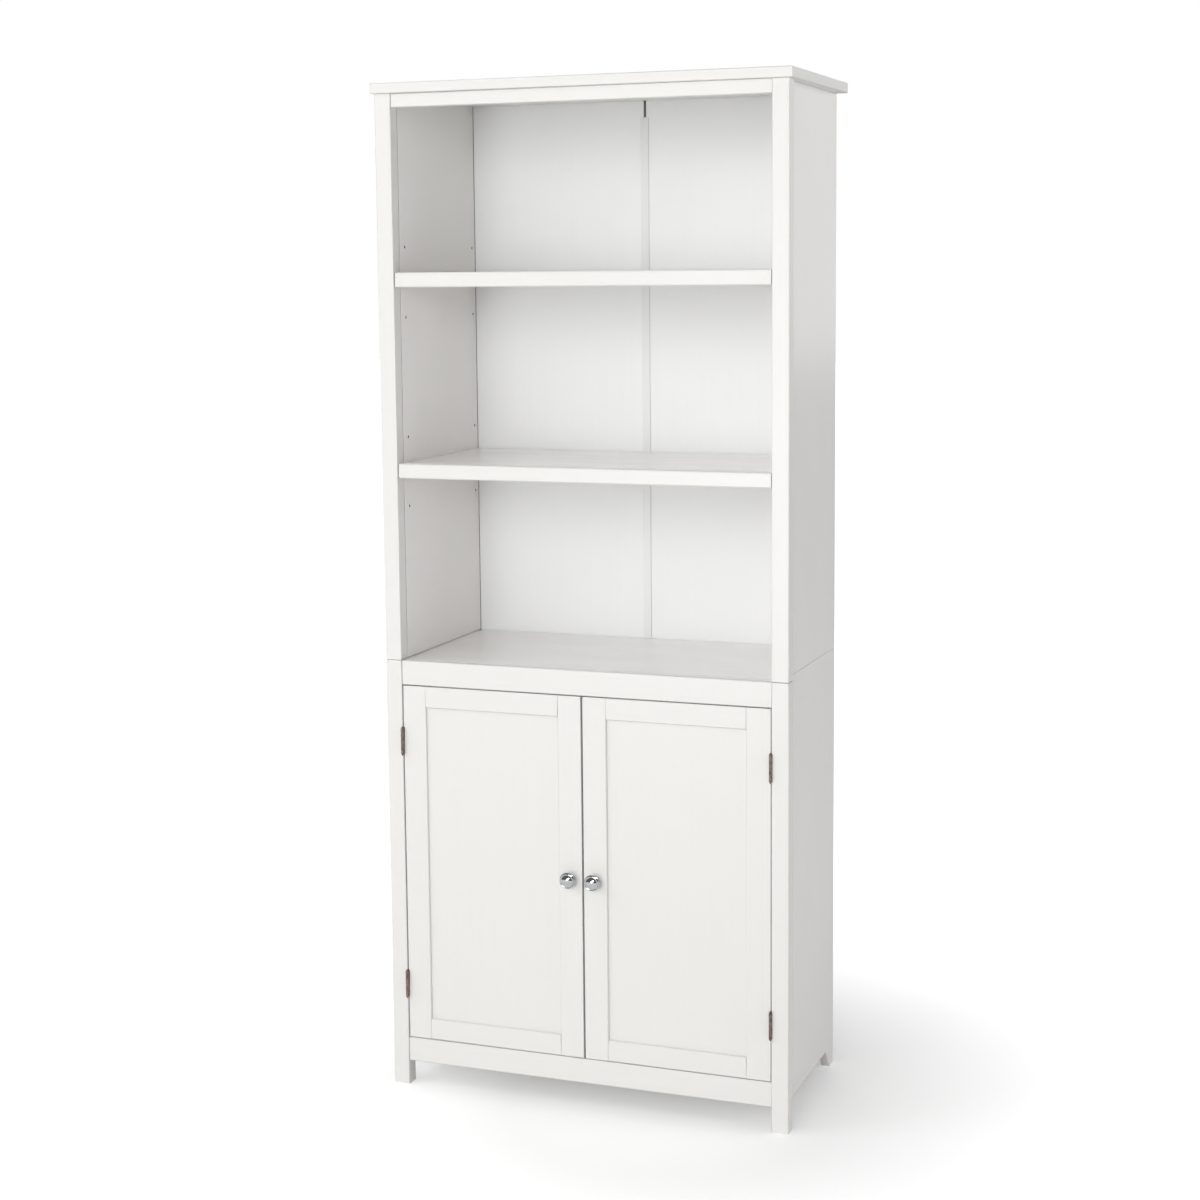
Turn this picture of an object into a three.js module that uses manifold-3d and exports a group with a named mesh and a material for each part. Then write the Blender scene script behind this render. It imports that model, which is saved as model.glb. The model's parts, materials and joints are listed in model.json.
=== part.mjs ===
// Bookcase with cabinet doors: an open upper unit on a cabinet with two framed doors.
// Millimetres. X runs along the front, Y from the front to the wall, Z up.
// Built with the fronts of the posts at Y = 0 and then centred over its own footprint.

import * as THREE from 'three';
import { mergeVertices } from 'three/addons/utils/BufferGeometryUtils.js';
import Module from 'manifold-3d';

const wasm = await Module();
wasm.setup();

// Driving dimensions

const bookcase = { height: 1800, width: 746, depth: 362 };
const topBoard = { thickness: 18, overhang: 6, ease: 1.2 };
const post = { width: 30, depth: 27, ease: 0.9 };
const side = { thickness: 16, floorClearance: 37 };
const rearFoot = { lengthAtFloor: 25, lengthAtPanel: 52 };
const cabinet = { height: 786 };
const board = { thickness: 15, ease: 0.6 };
const rail = { thickness: 18, setback: 2, ease: 1, topHeight: 24, cabinetHeight: 44, bottomHeight: 44.5 };
const bottomRail = { floorClearance: 44 };
const tongue = { thickness: 5, depth: 6 };
const back = { thickness: 3, inset: 3, grooveDepth: 6, centreSlot: 5 };
const strip = { width: 14.5, flange: 1.5, topCutback: 30 };
const nosing = { height: 26, thickness: 18, ease: 2 };
const shelfGap = { side: 1.5, rear: 1, doorToCabinetShelf: 20 };
const door = { gap: 1.5, meetingGap: 2, thickness: 18, stileWidth: 44, railWidth: 38, ease: 0.8 };
const doorPanel = { thickness: 6, recess: 5, grooveDepth: 8, endClearance: 1 };
const tenon = { endClearance: 0.6, edgeInset: 1 };
const hinge = { height: 48, leaf: 1.2, leafWidth: 13, knuckleRadius: 3.3, fromDoorEnd: 100.5 };
const hingePin = { radius: 1.4, tipRadius: 2.3, neck: 1.1 };
const hingeScrew = { radius: 1.5, length: 13, spacing: 28, fromKnuckle: 6.4 };
const knob = { length: 25, headRadius: 14.5, headDepth: 9, rim: 2.6 };
const knobFoot = { neckRadius: 5.2, radius: 7.5, thickness: 2 };
const knobScrew = { radius: 2, headRadius: 4, headDepth: 2.2, intoKnob: 9 };
const shelfPin = { radius: 2.5, collarRadius: 4, collar: 1, inHole: 8, reach: 7.5 };
const pinRow = { pitch: 62, fromFront: 48, fromBack: 14, cabinetFromFront: 62 };
const dowel = { radius: 4, intoFace: 10, intoPost: 15, intoEdge: 18, spacing: 16 };
const uprightDowel = { fromFront: 75, fromRear: 62 };
const levelDowel = { fromFront: 110, fromRear: 105 };
const catchBlock = { width: 46, depth: 13, height: 34, belowRail: 15 };
const strike = { width: 15, height: 12, thickness: 0.9, fromMeeting: 5, cornerCut: 1.5, fromTop: 1.5 };

// Heights of the shelf tops, as shares of the open unit's height and of the cabinet door opening's
const openShelfShares = { lower: 0.354, upper: 0.691 };
const cabinetShelfShare = 0.52;

// Working gap between seated pieces, and how far a cutting shape runs past a face
const seat = 0.3;
const overrun = 1;

// Counts: knuckles in a hinge, spare holes above and below each shelf pin, facets round a full turn
const knuckles = 5;
const sparePinHoles = 1;
const facets = { round: 8, knuckle: 12, knob: 24 };

// Places that follow from the driving dimensions

const half = bookcase.width / 2;
const innerHalf = half - post.width;
const sideOuter = innerHalf + side.thickness;
const sideMiddle = innerHalf + side.thickness / 2;
const topUnderside = bookcase.height - topBoard.thickness;
const backFront = bookcase.depth - back.inset - back.thickness;
const backRear = backFront + back.thickness;
const railFront = rail.setback;
const railRear = rail.setback + rail.thickness;
const bottomRailTop = bottomRail.floorClearance + rail.bottomHeight;
const cabinetRailBottom = cabinet.height - rail.cabinetHeight;
const doorBottom = bottomRailTop + door.gap;
const doorTop = cabinetRailBottom - door.gap;
const doorFront = rail.setback;
const doorRear = doorFront + door.thickness;
const hingeAxisX = innerHalf - door.gap / 2;
const hingeAxisY = -hinge.knuckleRadius - seat;
const hingeHeights = { lower: doorBottom + hinge.fromDoorEnd, upper: doorTop - hinge.fromDoorEnd };
const leafFront = hingeAxisY + hinge.knuckleRadius + seat;
const leafRear = leafFront + hinge.leafWidth;
const hingeScrewY = leafFront + hingeScrew.fromKnuckle;
const knobHeight = (doorBottom + doorTop) / 2;
const knobX = door.meetingGap / 2 + door.stileWidth / 2;
const panelFront = doorFront + doorPanel.recess;
const panelRear = panelFront + doorPanel.thickness;
const panelInGroove = doorPanel.grooveDepth - doorPanel.endClearance;
const tenonLength = doorPanel.grooveDepth - tenon.endClearance;
const stripFront = backFront - strip.flange;
const shelfRear = stripFront - shelfGap.rear;
const shelfReach = innerHalf - shelfGap.side;
const pinHoleRear = backFront - pinRow.fromBack;
const openHeight = topUnderside - cabinet.height;
const shelfTops = {
  lower: cabinet.height + openHeight * openShelfShares.lower,
  upper: cabinet.height + openHeight * openShelfShares.upper,
  cabinet: bottomRailTop + (cabinetRailBottom - bottomRailTop) * cabinetShelfShare,
};
const hands = [['left', -1], ['right', 1]];

const finishes = {
  painted: { color: 0xf1f1ee, roughness: 0.45, metalness: 0 },
  hardboard: { color: 0xe9e9e6, roughness: 0.6, metalness: 0 },
  chrome: { color: 0xd8d8da, roughness: 0.08, metalness: 1 },
  agedNickel: { color: 0x8d7f6e, roughness: 0.35, metalness: 1 },
  steel: { color: 0xb4b4b2, roughness: 0.4, metalness: 1 },
  plastic: { color: 0xe6e6e2, roughness: 0.5, metalness: 0 },
};

// Turns a closed three.js geometry into a solid for joining and cutting.
function solid(geometry) {
  const bare = geometry.clone();
  bare.deleteAttribute('normal');
  bare.deleteAttribute('uv');
  const merged = mergeVertices(bare);
  return new wasm.Manifold(new wasm.Mesh({
    numProp: 3,
    vertProperties: merged.attributes.position.array,
    triVerts: Uint32Array.from(merged.index.array),
  }));
}

// Turns a joined or cut solid back into a three.js geometry.
function geometryOf(body) {
  const mesh = body.getMesh();
  const geometry = new THREE.BufferGeometry();
  geometry.setAttribute('position', new THREE.BufferAttribute(mesh.vertProperties, 3));
  geometry.setIndex(new THREE.BufferAttribute(mesh.triVerts, 1));
  geometry.computeVertexNormals();
  return geometry;
}

function cut(geometry, cutters) {
  let body = solid(geometry);
  for (const cutter of cutters) {
    body = body.subtract(solid(cutter));
  }
  return geometryOf(body);
}

function join(geometries) {
  let body = solid(geometries[0]);
  for (const other of geometries.slice(1)) {
    body = body.add(solid(other));
  }
  return geometryOf(body);
}

function piece(name, finish, geometry) {
  const mesh = new THREE.Mesh(geometry, new THREE.MeshStandardMaterial(finishes[finish]));
  mesh.name = name;
  return mesh;
}

// A block between two planes along each axis: a unit cube stretched and placed in one step, so that
// two blocks that share a plane meet exactly.
function block(x0, x1, y0, y1, z0, z1) {
  const size = new THREE.Vector3(x1 - x0, y1 - y0, z1 - z0);
  const middle = new THREE.Matrix4().makeTranslation((x0 + x1) / 2, (y0 + y1) / 2, (z0 + z1) / 2);
  return new THREE.BoxGeometry(1, 1, 1).applyMatrix4(middle.scale(size));
}

function outline(points) {
  return new THREE.Shape(points.map(([u, v]) => new THREE.Vector2(u, v)));
}

// An outline pushed by one unit, to be stretched and placed in one step.
function unitPush(points) {
  return new THREE.ExtrudeGeometry(outline(points), { depth: 1, bevelEnabled: false });
}

// An outline in Y and Z pushed from x0 to x1.
function alongX(points, x0, x1) {
  const place = new THREE.Matrix4().makeBasis(
    new THREE.Vector3(0, 1, 0),
    new THREE.Vector3(0, 0, 1),
    new THREE.Vector3(x1 - x0, 0, 0),
  );
  place.setPosition(x0, 0, 0);
  return unitPush(points).applyMatrix4(place);
}

// An outline in X and Y pushed from z0 to z1.
function alongZ(points, z0, z1) {
  const place = new THREE.Matrix4().makeTranslation(0, 0, z0);
  place.scale(new THREE.Vector3(1, 1, z1 - z0));
  return unitPush(points).applyMatrix4(place);
}

// A rectangle with its four corners eased, anticlockwise.
function easedRectangle(u0, u1, v0, v1, ease) {
  return [
    [u0 + ease, v0],
    [u1 - ease, v0],
    [u1, v0 + ease],
    [u1, v1 - ease],
    [u1 - ease, v1],
    [u0 + ease, v1],
    [u0, v1 - ease],
    [u0, v0 + ease],
  ];
}

// A round rod from one place along an axis to another, one flat facing up.
function rod(axis, radius, from, to, at, sides = facets.round) {
  const low = Math.min(from, to);
  const high = Math.max(from, to);
  const geometry = new THREE.CylinderGeometry(radius, radius, high - low, sides);
  geometry.rotateY(Math.PI / sides);
  if (axis === 'x') {
    geometry.rotateZ(-Math.PI / 2);
    return geometry.translate((low + high) / 2, at[0], at[1]);
  }
  if (axis === 'y') {
    return geometry.translate(at[0], (low + high) / 2, at[1]);
  }
  geometry.rotateX(Math.PI / 2);
  return geometry.translate(at[0], at[1], (low + high) / 2);
}

// A turned piece along Y. Its profile is radius and height, from the axis up and back to it.
function turned(profile, sides = facets.round) {
  const points = profile.map(([radius, height]) => new THREE.Vector2(radius, height));
  return new THREE.LatheGeometry(points, sides).rotateY(Math.PI / sides);
}

// The two ends of a span on one side of the middle, in rising order.
function spanX(sign, a, b) {
  return [Math.min(sign * a, sign * b), Math.max(sign * a, sign * b)];
}

// The height of the shelf pins under a shelf with this top.
function pinHeight(shelfTop) {
  const flat = shelfPin.radius * Math.cos(Math.PI / facets.round);
  return shelfTop - board.thickness - seat - flat;
}

// Blind holes for shelf pins in the inner face of a side panel: one in use, with spares above and below.
function pinHoles(sign, tops, places) {
  const holes = [];
  const from = sign * (innerHalf - overrun);
  const to = sign * (innerHalf + shelfPin.inHole + seat);
  for (const top of tops) {
    for (let step = -sparePinHoles; step <= sparePinHoles; step += 1) {
      const height = pinHeight(top) + step * pinRow.pitch;
      for (const y of places) {
        holes.push(rod('x', shelfPin.radius + seat, from, to, [y, height]));
      }
    }
  }
  return holes;
}

// Glued dowels. Each is made in one with the piece that carries it and enters a hole in its neighbour.

function dowelRow(places) {
  return [places.fromFront, bookcase.depth - places.fromRear];
}

// Upright dowels at the middle of a side panel's edge. extra widens them into the holes that they enter.
function uprightDowels(sign, from, to, extra = 0) {
  const rods = [];
  for (const y of dowelRow(uprightDowel)) {
    rods.push(rod('z', dowel.radius + extra, from, to, [sign * sideMiddle, y]));
  }
  return rods;
}

// Level dowels from the ends of a fixed board into the side panels.
function boardDowels(sign, bottom, extra = 0) {
  const from = sign * (innerHalf - dowel.intoEdge);
  const to = sign * (innerHalf + dowel.intoFace + extra);
  const height = bottom + board.thickness / 2;
  return dowelRow(levelDowel).map((y) => rod('x', dowel.radius + extra, from, to, [y, height]));
}

// Level dowels from the ends of a rail into the posts: one above another, clear of the board's tongue.
function railDowels(sign, bottom, height, count, extra = 0) {
  const y = railFront + (rail.thickness - tongue.depth) / 2;
  const from = sign * (innerHalf - dowel.intoEdge);
  const to = sign * (innerHalf + dowel.intoPost + extra);
  const rods = [];
  for (let index = 0; index < count; index += 1) {
    const z = bottom + height / 2 + (index - (count - 1) / 2) * dowel.spacing;
    rods.push(rod('x', dowel.radius + extra, from, to, [y, z]));
  }
  return rods;
}

// The three rails: where each starts, how high it is and how many dowels hold each end.
const rails = {
  top: { bottom: topUnderside - rail.topHeight, height: rail.topHeight, dowels: 1 },
  cabinet: { bottom: cabinetRailBottom, height: rail.cabinetHeight, dowels: 2 },
  bottom: { bottom: bottomRail.floorClearance, height: rail.bottomHeight, dowels: 2 },
};

function railDowelHoles(sign, each) {
  return railDowels(sign, each.bottom, each.height, each.dowels, seat);
}

// Top board: its upper and lower edges are eased all round, and a groove takes the back panels.
function makeTopBoard() {
  const reach = half + topBoard.overhang - topBoard.ease;
  const front = topBoard.ease - topBoard.overhang;
  const rear = bookcase.depth - topBoard.ease;
  const rectangle = outline([[-reach, front], [reach, front], [reach, rear], [-reach, rear]]);
  const slab = new THREE.ExtrudeGeometry(rectangle, {
    depth: topBoard.thickness - topBoard.ease * 2,
    bevelThickness: topBoard.ease,
    bevelSize: topBoard.ease,
    bevelSegments: 1,
  }).translate(0, 0, topUnderside + topBoard.ease);
  const grooveReach = innerHalf + back.grooveDepth + seat;
  const grooveTop = topUnderside + back.grooveDepth + seat;
  const low = topUnderside - overrun;
  const groove = block(-grooveReach, grooveReach, backFront - seat, backRear + seat, low, grooveTop);
  const high = topUnderside + dowel.intoFace + seat;
  const holes = hands.flatMap(([, sign]) => uprightDowels(sign, low, high, seat));
  return piece('top_board', 'painted', cut(slab, [groove, ...holes]));
}

// A rail between the posts, eased along its length, with a groove for a board's tongue if it has one.
function makeRail(name, each, tongueMiddle) {
  const profile = easedRectangle(railFront, railRear, each.bottom, each.bottom + each.height, rail.ease);
  const pegs = hands.flatMap(([, sign]) => railDowels(sign, each.bottom, each.height, each.dowels));
  const bar = join([alongX(profile, -innerHalf, innerHalf), ...pegs]);
  const grooves = tongueMiddle === null ? [] : [tongueGroove(railRear, tongueMiddle, innerHalf)];
  return piece(name, 'painted', cut(bar, grooves));
}

// The groove that a board's tongue sits in, cut into the rear face of a rail or nosing.
function tongueGroove(rearFace, middle, halfLength) {
  const reach = halfLength + overrun;
  const deep = rearFace - tongue.depth - seat;
  const low = middle - tongue.thickness / 2 - seat;
  const high = middle + tongue.thickness / 2 + seat;
  return block(-reach, reach, deep, rearFace + overrun, low, high);
}

// A board with a tongue along its front edge.
function tonguedBoard(reach, front, rear, bottom) {
  const top = bottom + board.thickness;
  const middle = bottom + board.thickness / 2;
  const low = middle - tongue.thickness / 2;
  const high = middle + tongue.thickness / 2;
  const tip = front - tongue.depth;
  return alongX([
    [tip, low],
    [front, low],
    [front, bottom],
    [rear, bottom],
    [rear, top],
    [front, top],
    [front, high],
    [tip, high],
  ], -reach, reach);
}

// A fixed board of the cabinet, held by a rail in front and by dowels at its ends.
function makeFixedBoard(name, bottom) {
  const slab = tonguedBoard(innerHalf, railRear, backFront - seat, bottom);
  const pegs = hands.flatMap(([, sign]) => boardDowels(sign, bottom));
  return piece(name, 'painted', join([slab, ...pegs]));
}

// The groove down the inner face of a side panel for a back panel's edge.
function sideGroove(sign, z0, z1) {
  const [x0, x1] = spanX(sign, innerHalf - overrun, innerHalf + back.grooveDepth + seat);
  return block(x0, x1, backFront - seat, backRear + seat, z0, z1);
}

// The upper side panel stands on the lower one. It has dowels down into that and up into the top board.
function makeUpperSide(word, sign) {
  const [x0, x1] = spanX(sign, innerHalf, sideOuter);
  const panel = block(x0, x1, post.depth, bookcase.depth, cabinet.height, topUnderside);
  const cutters = [
    sideGroove(sign, cabinet.height - overrun, topUnderside + overrun),
    ...pinHoles(sign, [shelfTops.upper, shelfTops.lower], [pinRow.fromFront, pinHoleRear]),
  ];
  const pegs = [
    ...uprightDowels(sign, cabinet.height - dowel.intoEdge, cabinet.height + dowel.intoEdge),
    ...uprightDowels(sign, topUnderside - dowel.intoEdge, topUnderside + dowel.intoFace),
  ];
  return piece(`upper_side_panel_${word}`, 'painted', join([cut(panel, cutters), ...pegs]));
}

// The lower side panel runs down into a rear foot with a slanted front edge.
function makeLowerSide(word, sign) {
  const [x0, x1] = spanX(sign, innerHalf, sideOuter);
  const panel = alongX([
    [post.depth, side.floorClearance],
    [bookcase.depth - rearFoot.lengthAtPanel, side.floorClearance],
    [bookcase.depth - rearFoot.lengthAtFloor, 0],
    [bookcase.depth, 0],
    [bookcase.depth, cabinet.height],
    [post.depth, cabinet.height],
  ], x0, x1);
  const cutters = [
    sideGroove(sign, bottomRailTop - board.thickness - seat, cabinet.height + overrun),
    ...pinHoles(sign, [shelfTops.cabinet], [pinRow.cabinetFromFront, pinHoleRear]),
    ...boardDowels(sign, cabinet.height - board.thickness, seat),
    ...boardDowels(sign, bottomRailTop - board.thickness, seat),
    ...uprightDowels(sign, cabinet.height - dowel.intoEdge - seat, cabinet.height + overrun, seat),
  ];
  return piece(`lower_side_panel_${word}`, 'painted', cut(panel, cutters));
}

function postBar(sign, z0, z1) {
  const [x0, x1] = spanX(sign, innerHalf, half);
  return alongZ(easedRectangle(x0, x1, 0, post.depth, post.ease), z0, z1);
}

function makeUpperPost(word, sign) {
  const bar = postBar(sign, cabinet.height, topUnderside);
  return piece(`upper_post_${word}`, 'painted', cut(bar, railDowelHoles(sign, rails.top)));
}

// The lower post has a shallow housing for each hinge leaf and pilot holes for its screws.
function makeLowerPost(word, sign) {
  const cutters = [...railDowelHoles(sign, rails.cabinet), ...railDowelHoles(sign, rails.bottom)];
  const tall = hinge.height / 2 + seat;
  const [x0, x1] = spanX(sign, innerHalf - overrun, innerHalf + hinge.leaf + seat);
  for (const height of Object.values(hingeHeights)) {
    cutters.push(block(x0, x1, -overrun, leafRear + seat, height - tall, height + tall));
    cutters.push(...pilotHoles(sign, innerHalf, height));
  }
  return piece(`lower_post_${word}`, 'painted', cut(postBar(sign, 0, cabinet.height), cutters));
}

// One half of a back panel, between a side groove and the slot at the centre.
function makeBackHalf(name, sign, z0, z1) {
  const [x0, x1] = spanX(sign, back.centreSlot / 2, innerHalf + back.grooveDepth);
  return piece(name, 'hardboard', block(x0, x1, backFront, backRear, z0, z1));
}

// The joint strip clips the two halves: a front flange, a web in the slot and a rear flange.
// The front flange and web stop short of the top board, which leaves the head of the slot open to view.
function makeStrip(name, bottom, top) {
  const wide = strip.width / 2;
  const web = back.centreSlot / 2 - seat;
  const frontTop = top - strip.topCutback;
  const front = block(-wide, wide, stripFront, backFront, bottom, frontTop);
  const middle = block(-web, web, stripFront, backRear + strip.flange, bottom, frontTop);
  const rear = block(-wide, wide, backRear, backRear + strip.flange, bottom, top);
  return piece(name, 'plastic', join([front, middle, rear]));
}

// An adjustable shelf: a board whose tongue sits in a deep nosing, flush on top.
function makeOpenShelf(word, top) {
  const bottom = top - board.thickness;
  const nosingRear = railFront + nosing.thickness;
  const slab = tonguedBoard(shelfReach, nosingRear, shelfRear, bottom);
  const profile = easedRectangle(railFront, nosingRear, top - nosing.height, top, nosing.ease);
  const bar = alongX(profile, -shelfReach, shelfReach);
  const groove = tongueGroove(nosingRear, bottom + board.thickness / 2, shelfReach);
  return [
    piece(`shelf_${word}_board`, 'painted', slab),
    piece(`shelf_${word}_nosing`, 'painted', cut(bar, [groove])),
  ];
}

function makeCabinetShelf() {
  const front = doorRear + shelfGap.doorToCabinetShelf;
  const top = shelfTops.cabinet;
  const profile = easedRectangle(front, shelfRear, top - board.thickness, top, board.ease);
  return piece('cabinet_shelf', 'painted', alongX(profile, -shelfReach, shelfReach));
}

// A shelf pin: a peg in its hole, a collar on the panel's face and a peg under the shelf.
function shelfPinShape() {
  const tip = shelfPin.collar + shelfPin.reach;
  return turned([
    [0, -shelfPin.inHole],
    [shelfPin.radius, -shelfPin.inHole],
    [shelfPin.radius, 0],
    [shelfPin.collarRadius, 0],
    [shelfPin.collarRadius, shelfPin.collar],
    [shelfPin.radius, shelfPin.collar],
    [shelfPin.radius, tip],
    [0, tip],
  ]);
}

function makeShelfPins(shelfName, shelfTop, front) {
  const pins = [];
  for (const [word, sign] of hands) {
    for (const [row, y] of [['front', front], ['rear', pinHoleRear]]) {
      const pin = shelfPinShape().rotateZ(sign * Math.PI / 2);
      pin.translate(sign * innerHalf, y, pinHeight(shelfTop));
      pins.push(piece(`${shelfName}_pin_${row}_${word}`, 'steel', pin));
    }
  }
  return pins;
}

// Butt hinges. The pin stands in front of the gap between a post and a door, and five knuckles
// share it: three on the frame leaf, which the pin is riveted into, and two on the door leaf.
// way is +1 for a leaf on the +X side of its pin and -1 for one on the -X side.

function leafPlate(way) {
  const [x0, x1] = spanX(way, door.gap / 2, door.gap / 2 + hinge.leaf);
  const low = -hinge.height / 2;
  return block(x0, x1, leafFront - hingeAxisY, leafRear - hingeAxisY, low, -low);
}

// The heights of the knuckles of one leaf, each with half the working gap at its ends.
function knuckleSpans(first) {
  const pitch = hinge.height / knuckles;
  const spans = [];
  for (let index = first; index < knuckles; index += 2) {
    const low = index * pitch - hinge.height / 2;
    spans.push([low + seat / 2, low + pitch - seat / 2]);
  }
  return spans;
}

// The short strap that joins a knuckle to its plate.
function knuckleStrap(way, low, high) {
  const [x0, x1] = spanX(way, door.gap / 2, door.gap / 2 + hinge.leaf);
  const start = (hingePin.radius + seat + hinge.knuckleRadius) / 2;
  return block(x0, x1, start, leafFront - hingeAxisY + hinge.leaf, low, high);
}

// The shanks of the countersunk screws that hold a leaf, made in one with it.
function leafScrews(way) {
  const from = way * (door.gap / 2 + hinge.leaf / 2);
  const to = way * (door.gap / 2 + hingeScrew.length);
  const y = hingeScrewY - hingeAxisY;
  return [-1, 1].map((end) => rod('x', hingeScrew.radius, from, to, [y, end * hingeScrew.spacing / 2]));
}

// Pilot holes for those screws. face is the distance of the wood's face from the middle.
function pilotHoles(sign, face, height) {
  const way = face > hingeAxisX ? 1 : -1;
  const from = sign * face;
  const to = sign * (face + way * (hingeScrew.length + seat));
  return [-1, 1].map((end) => {
    const z = height + end * hingeScrew.spacing / 2;
    return rod('x', hingeScrew.radius + seat, from, to, [hingeScrewY, z]);
  });
}

// The pin, with a ball tip above and below the knuckles.
function pinWithTips() {
  const neck = hinge.height / 2 + hingePin.neck;
  const steps = 3;
  const lowerBall = [[0, -neck - hingePin.tipRadius * 2]];
  const upperBall = [[0, neck + hingePin.tipRadius * 2]];
  for (let step = 1; step <= steps; step += 1) {
    const turn = step * Math.PI / (steps + 1);
    const radius = hingePin.tipRadius * Math.sin(turn);
    const height = neck + hingePin.tipRadius + hingePin.tipRadius * Math.cos(turn);
    lowerBall.push([radius, -height]);
    upperBall.unshift([radius, height]);
  }
  const pin = [[hingePin.radius, -neck], [hingePin.radius, neck]];
  return turned([...lowerBall, ...pin, ...upperBall]).rotateX(Math.PI / 2);
}

function frameLeaf(way) {
  const parts = [leafPlate(way), pinWithTips(), ...leafScrews(way)];
  for (const [low, high] of knuckleSpans(0)) {
    parts.push(rod('z', hinge.knuckleRadius, low, high, [0, 0], facets.knuckle));
    parts.push(knuckleStrap(way, low, high));
  }
  return join(parts);
}

// The door leaf's knuckles are rings that turn on the pin.
function doorLeaf(way) {
  const parts = [leafPlate(way), ...leafScrews(way)];
  const bore = hingePin.radius + seat;
  for (const [low, high] of knuckleSpans(1)) {
    const ring = turned([
      [bore, low],
      [hinge.knuckleRadius, low],
      [hinge.knuckleRadius, high],
      [bore, high],
      [bore, low],
    ], facets.knuckle);
    parts.push(ring.rotateX(Math.PI / 2));
    parts.push(knuckleStrap(way, low, high));
  }
  return join(parts);
}

function makeHinges() {
  const leaves = [];
  for (const [word, sign] of hands) {
    for (const [level, height] of Object.entries(hingeHeights)) {
      const at = [sign * hingeAxisX, hingeAxisY, height];
      const name = `hinge_${level}_${word}`;
      leaves.push(piece(`${name}_frame_leaf`, 'agedNickel', frameLeaf(sign).translate(...at)));
      leaves.push(piece(`${name}_door_leaf`, 'agedNickel', doorLeaf(-sign).translate(...at)));
    }
  }
  return leaves;
}

// Doors: two stiles and two rails round a thin panel. Each is built in place, sign -1 left and +1 right.

// A stile with a groove along its inner edge. outerX and innerX are its two edges, from the object's centre.
function stileBar(sign, outerX, innerX) {
  const [x0, x1] = spanX(sign, outerX, innerX);
  const bar = alongZ(easedRectangle(x0, x1, doorFront, doorRear, door.ease), doorBottom, doorTop);
  const way = Math.sign(outerX - innerX);
  const inward = innerX + way * (doorPanel.grooveDepth + seat);
  const [g0, g1] = spanX(sign, innerX - way * overrun, inward);
  const low = doorBottom - overrun;
  const high = doorTop + overrun;
  return { bar, groove: block(g0, g1, panelFront - seat, panelRear + seat, low, high) };
}

function makeHingeStile(word, sign) {
  const edge = innerHalf - door.gap;
  const { bar, groove } = stileBar(sign, edge, edge - door.stileWidth);
  const cutters = [groove];
  const tall = hinge.height / 2 + seat;
  const [x0, x1] = spanX(sign, edge + overrun, edge - hinge.leaf - seat);
  for (const height of Object.values(hingeHeights)) {
    cutters.push(block(x0, x1, doorFront - overrun, leafRear + seat, height - tall, height + tall));
    cutters.push(...pilotHoles(sign, edge, height));
  }
  return piece(`door_${word}_hinge_stile`, 'painted', cut(bar, cutters));
}

function makeMeetingStile(word, sign) {
  const edge = door.meetingGap / 2;
  const { bar, groove } = stileBar(sign, edge, edge + door.stileWidth);
  const at = [sign * knobX, knobHeight];
  const bore = rod('y', knobScrew.radius + seat, doorFront - overrun, doorRear + overrun, at);
  return piece(`door_${word}_meeting_stile`, 'painted', cut(bar, [groove, bore]));
}

// A door rail with a stub tenon at each end and a groove for the panel. up is +1 for the bottom rail.
function makeDoorRail(word, sign, level) {
  const up = level === 'bottom' ? 1 : -1;
  const outerZ = up > 0 ? doorBottom : doorTop;
  const innerZ = outerZ + up * door.railWidth;
  const near = door.meetingGap / 2 + door.stileWidth;
  const far = innerHalf - door.gap - door.stileWidth;
  const [x0, x1] = spanX(sign, near, far);
  const [z0, z1] = [Math.min(outerZ, innerZ), Math.max(outerZ, innerZ)];
  const bar = alongX(easedRectangle(doorFront, doorRear, z0, z1, door.ease), x0, x1);
  const [t0, t1] = [x0 - tenonLength, x1 + tenonLength];
  const stub = block(t0, t1, panelFront, panelRear, z0 + tenon.edgeInset, z1 - tenon.edgeInset);
  const deep = innerZ - up * (doorPanel.grooveDepth + seat);
  const [g0, g1] = [Math.min(deep, innerZ + up * overrun), Math.max(deep, innerZ + up * overrun)];
  const reach = tenonLength + overrun;
  const groove = block(x0 - reach, x1 + reach, panelFront - seat, panelRear + seat, g0, g1);
  return piece(`door_${word}_${level}_rail`, 'painted', cut(join([bar, stub]), [groove]));
}

function makeDoorPanel(word, sign) {
  const near = door.meetingGap / 2 + door.stileWidth - panelInGroove;
  const far = innerHalf - door.gap - door.stileWidth + panelInGroove;
  const [x0, x1] = spanX(sign, near, far);
  const low = doorBottom + door.railWidth - panelInGroove;
  const high = doorTop - door.railWidth + panelInGroove;
  return piece(`door_${word}_panel`, 'painted', block(x0, x1, panelFront, panelRear, low, high));
}

// A domed knob on a short neck, with a blind bore for its screw.
function makeKnob(word, sign) {
  const headBase = knob.length - knob.headDepth;
  const points = [
    [0, 0],
    [knobFoot.radius, 0],
    [knobFoot.radius, knobFoot.thickness / 2],
    [knobFoot.neckRadius, knobFoot.thickness],
    [knobFoot.neckRadius, headBase - knob.rim],
    [knob.headRadius - knob.rim / 2, headBase],
  ];
  const steps = 5;
  const domeHeight = knob.length - headBase - knob.rim / 2;
  for (let step = 0; step < steps; step += 1) {
    const turn = step * Math.PI / 2 / steps;
    const height = headBase + knob.rim / 2 + domeHeight * Math.sin(turn);
    points.push([knob.headRadius * Math.cos(turn), height]);
  }
  points.push([0, knob.length]);
  const body = turned(points, facets.knob).rotateX(Math.PI);
  const bore = rod('y', knobScrew.radius + seat, overrun, -knobScrew.intoKnob - seat, [0, 0]);
  const shape = cut(body, [bore]).translate(sign * knobX, doorFront, knobHeight);
  return piece(`door_${word}_knob`, 'chrome', shape);
}

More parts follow.
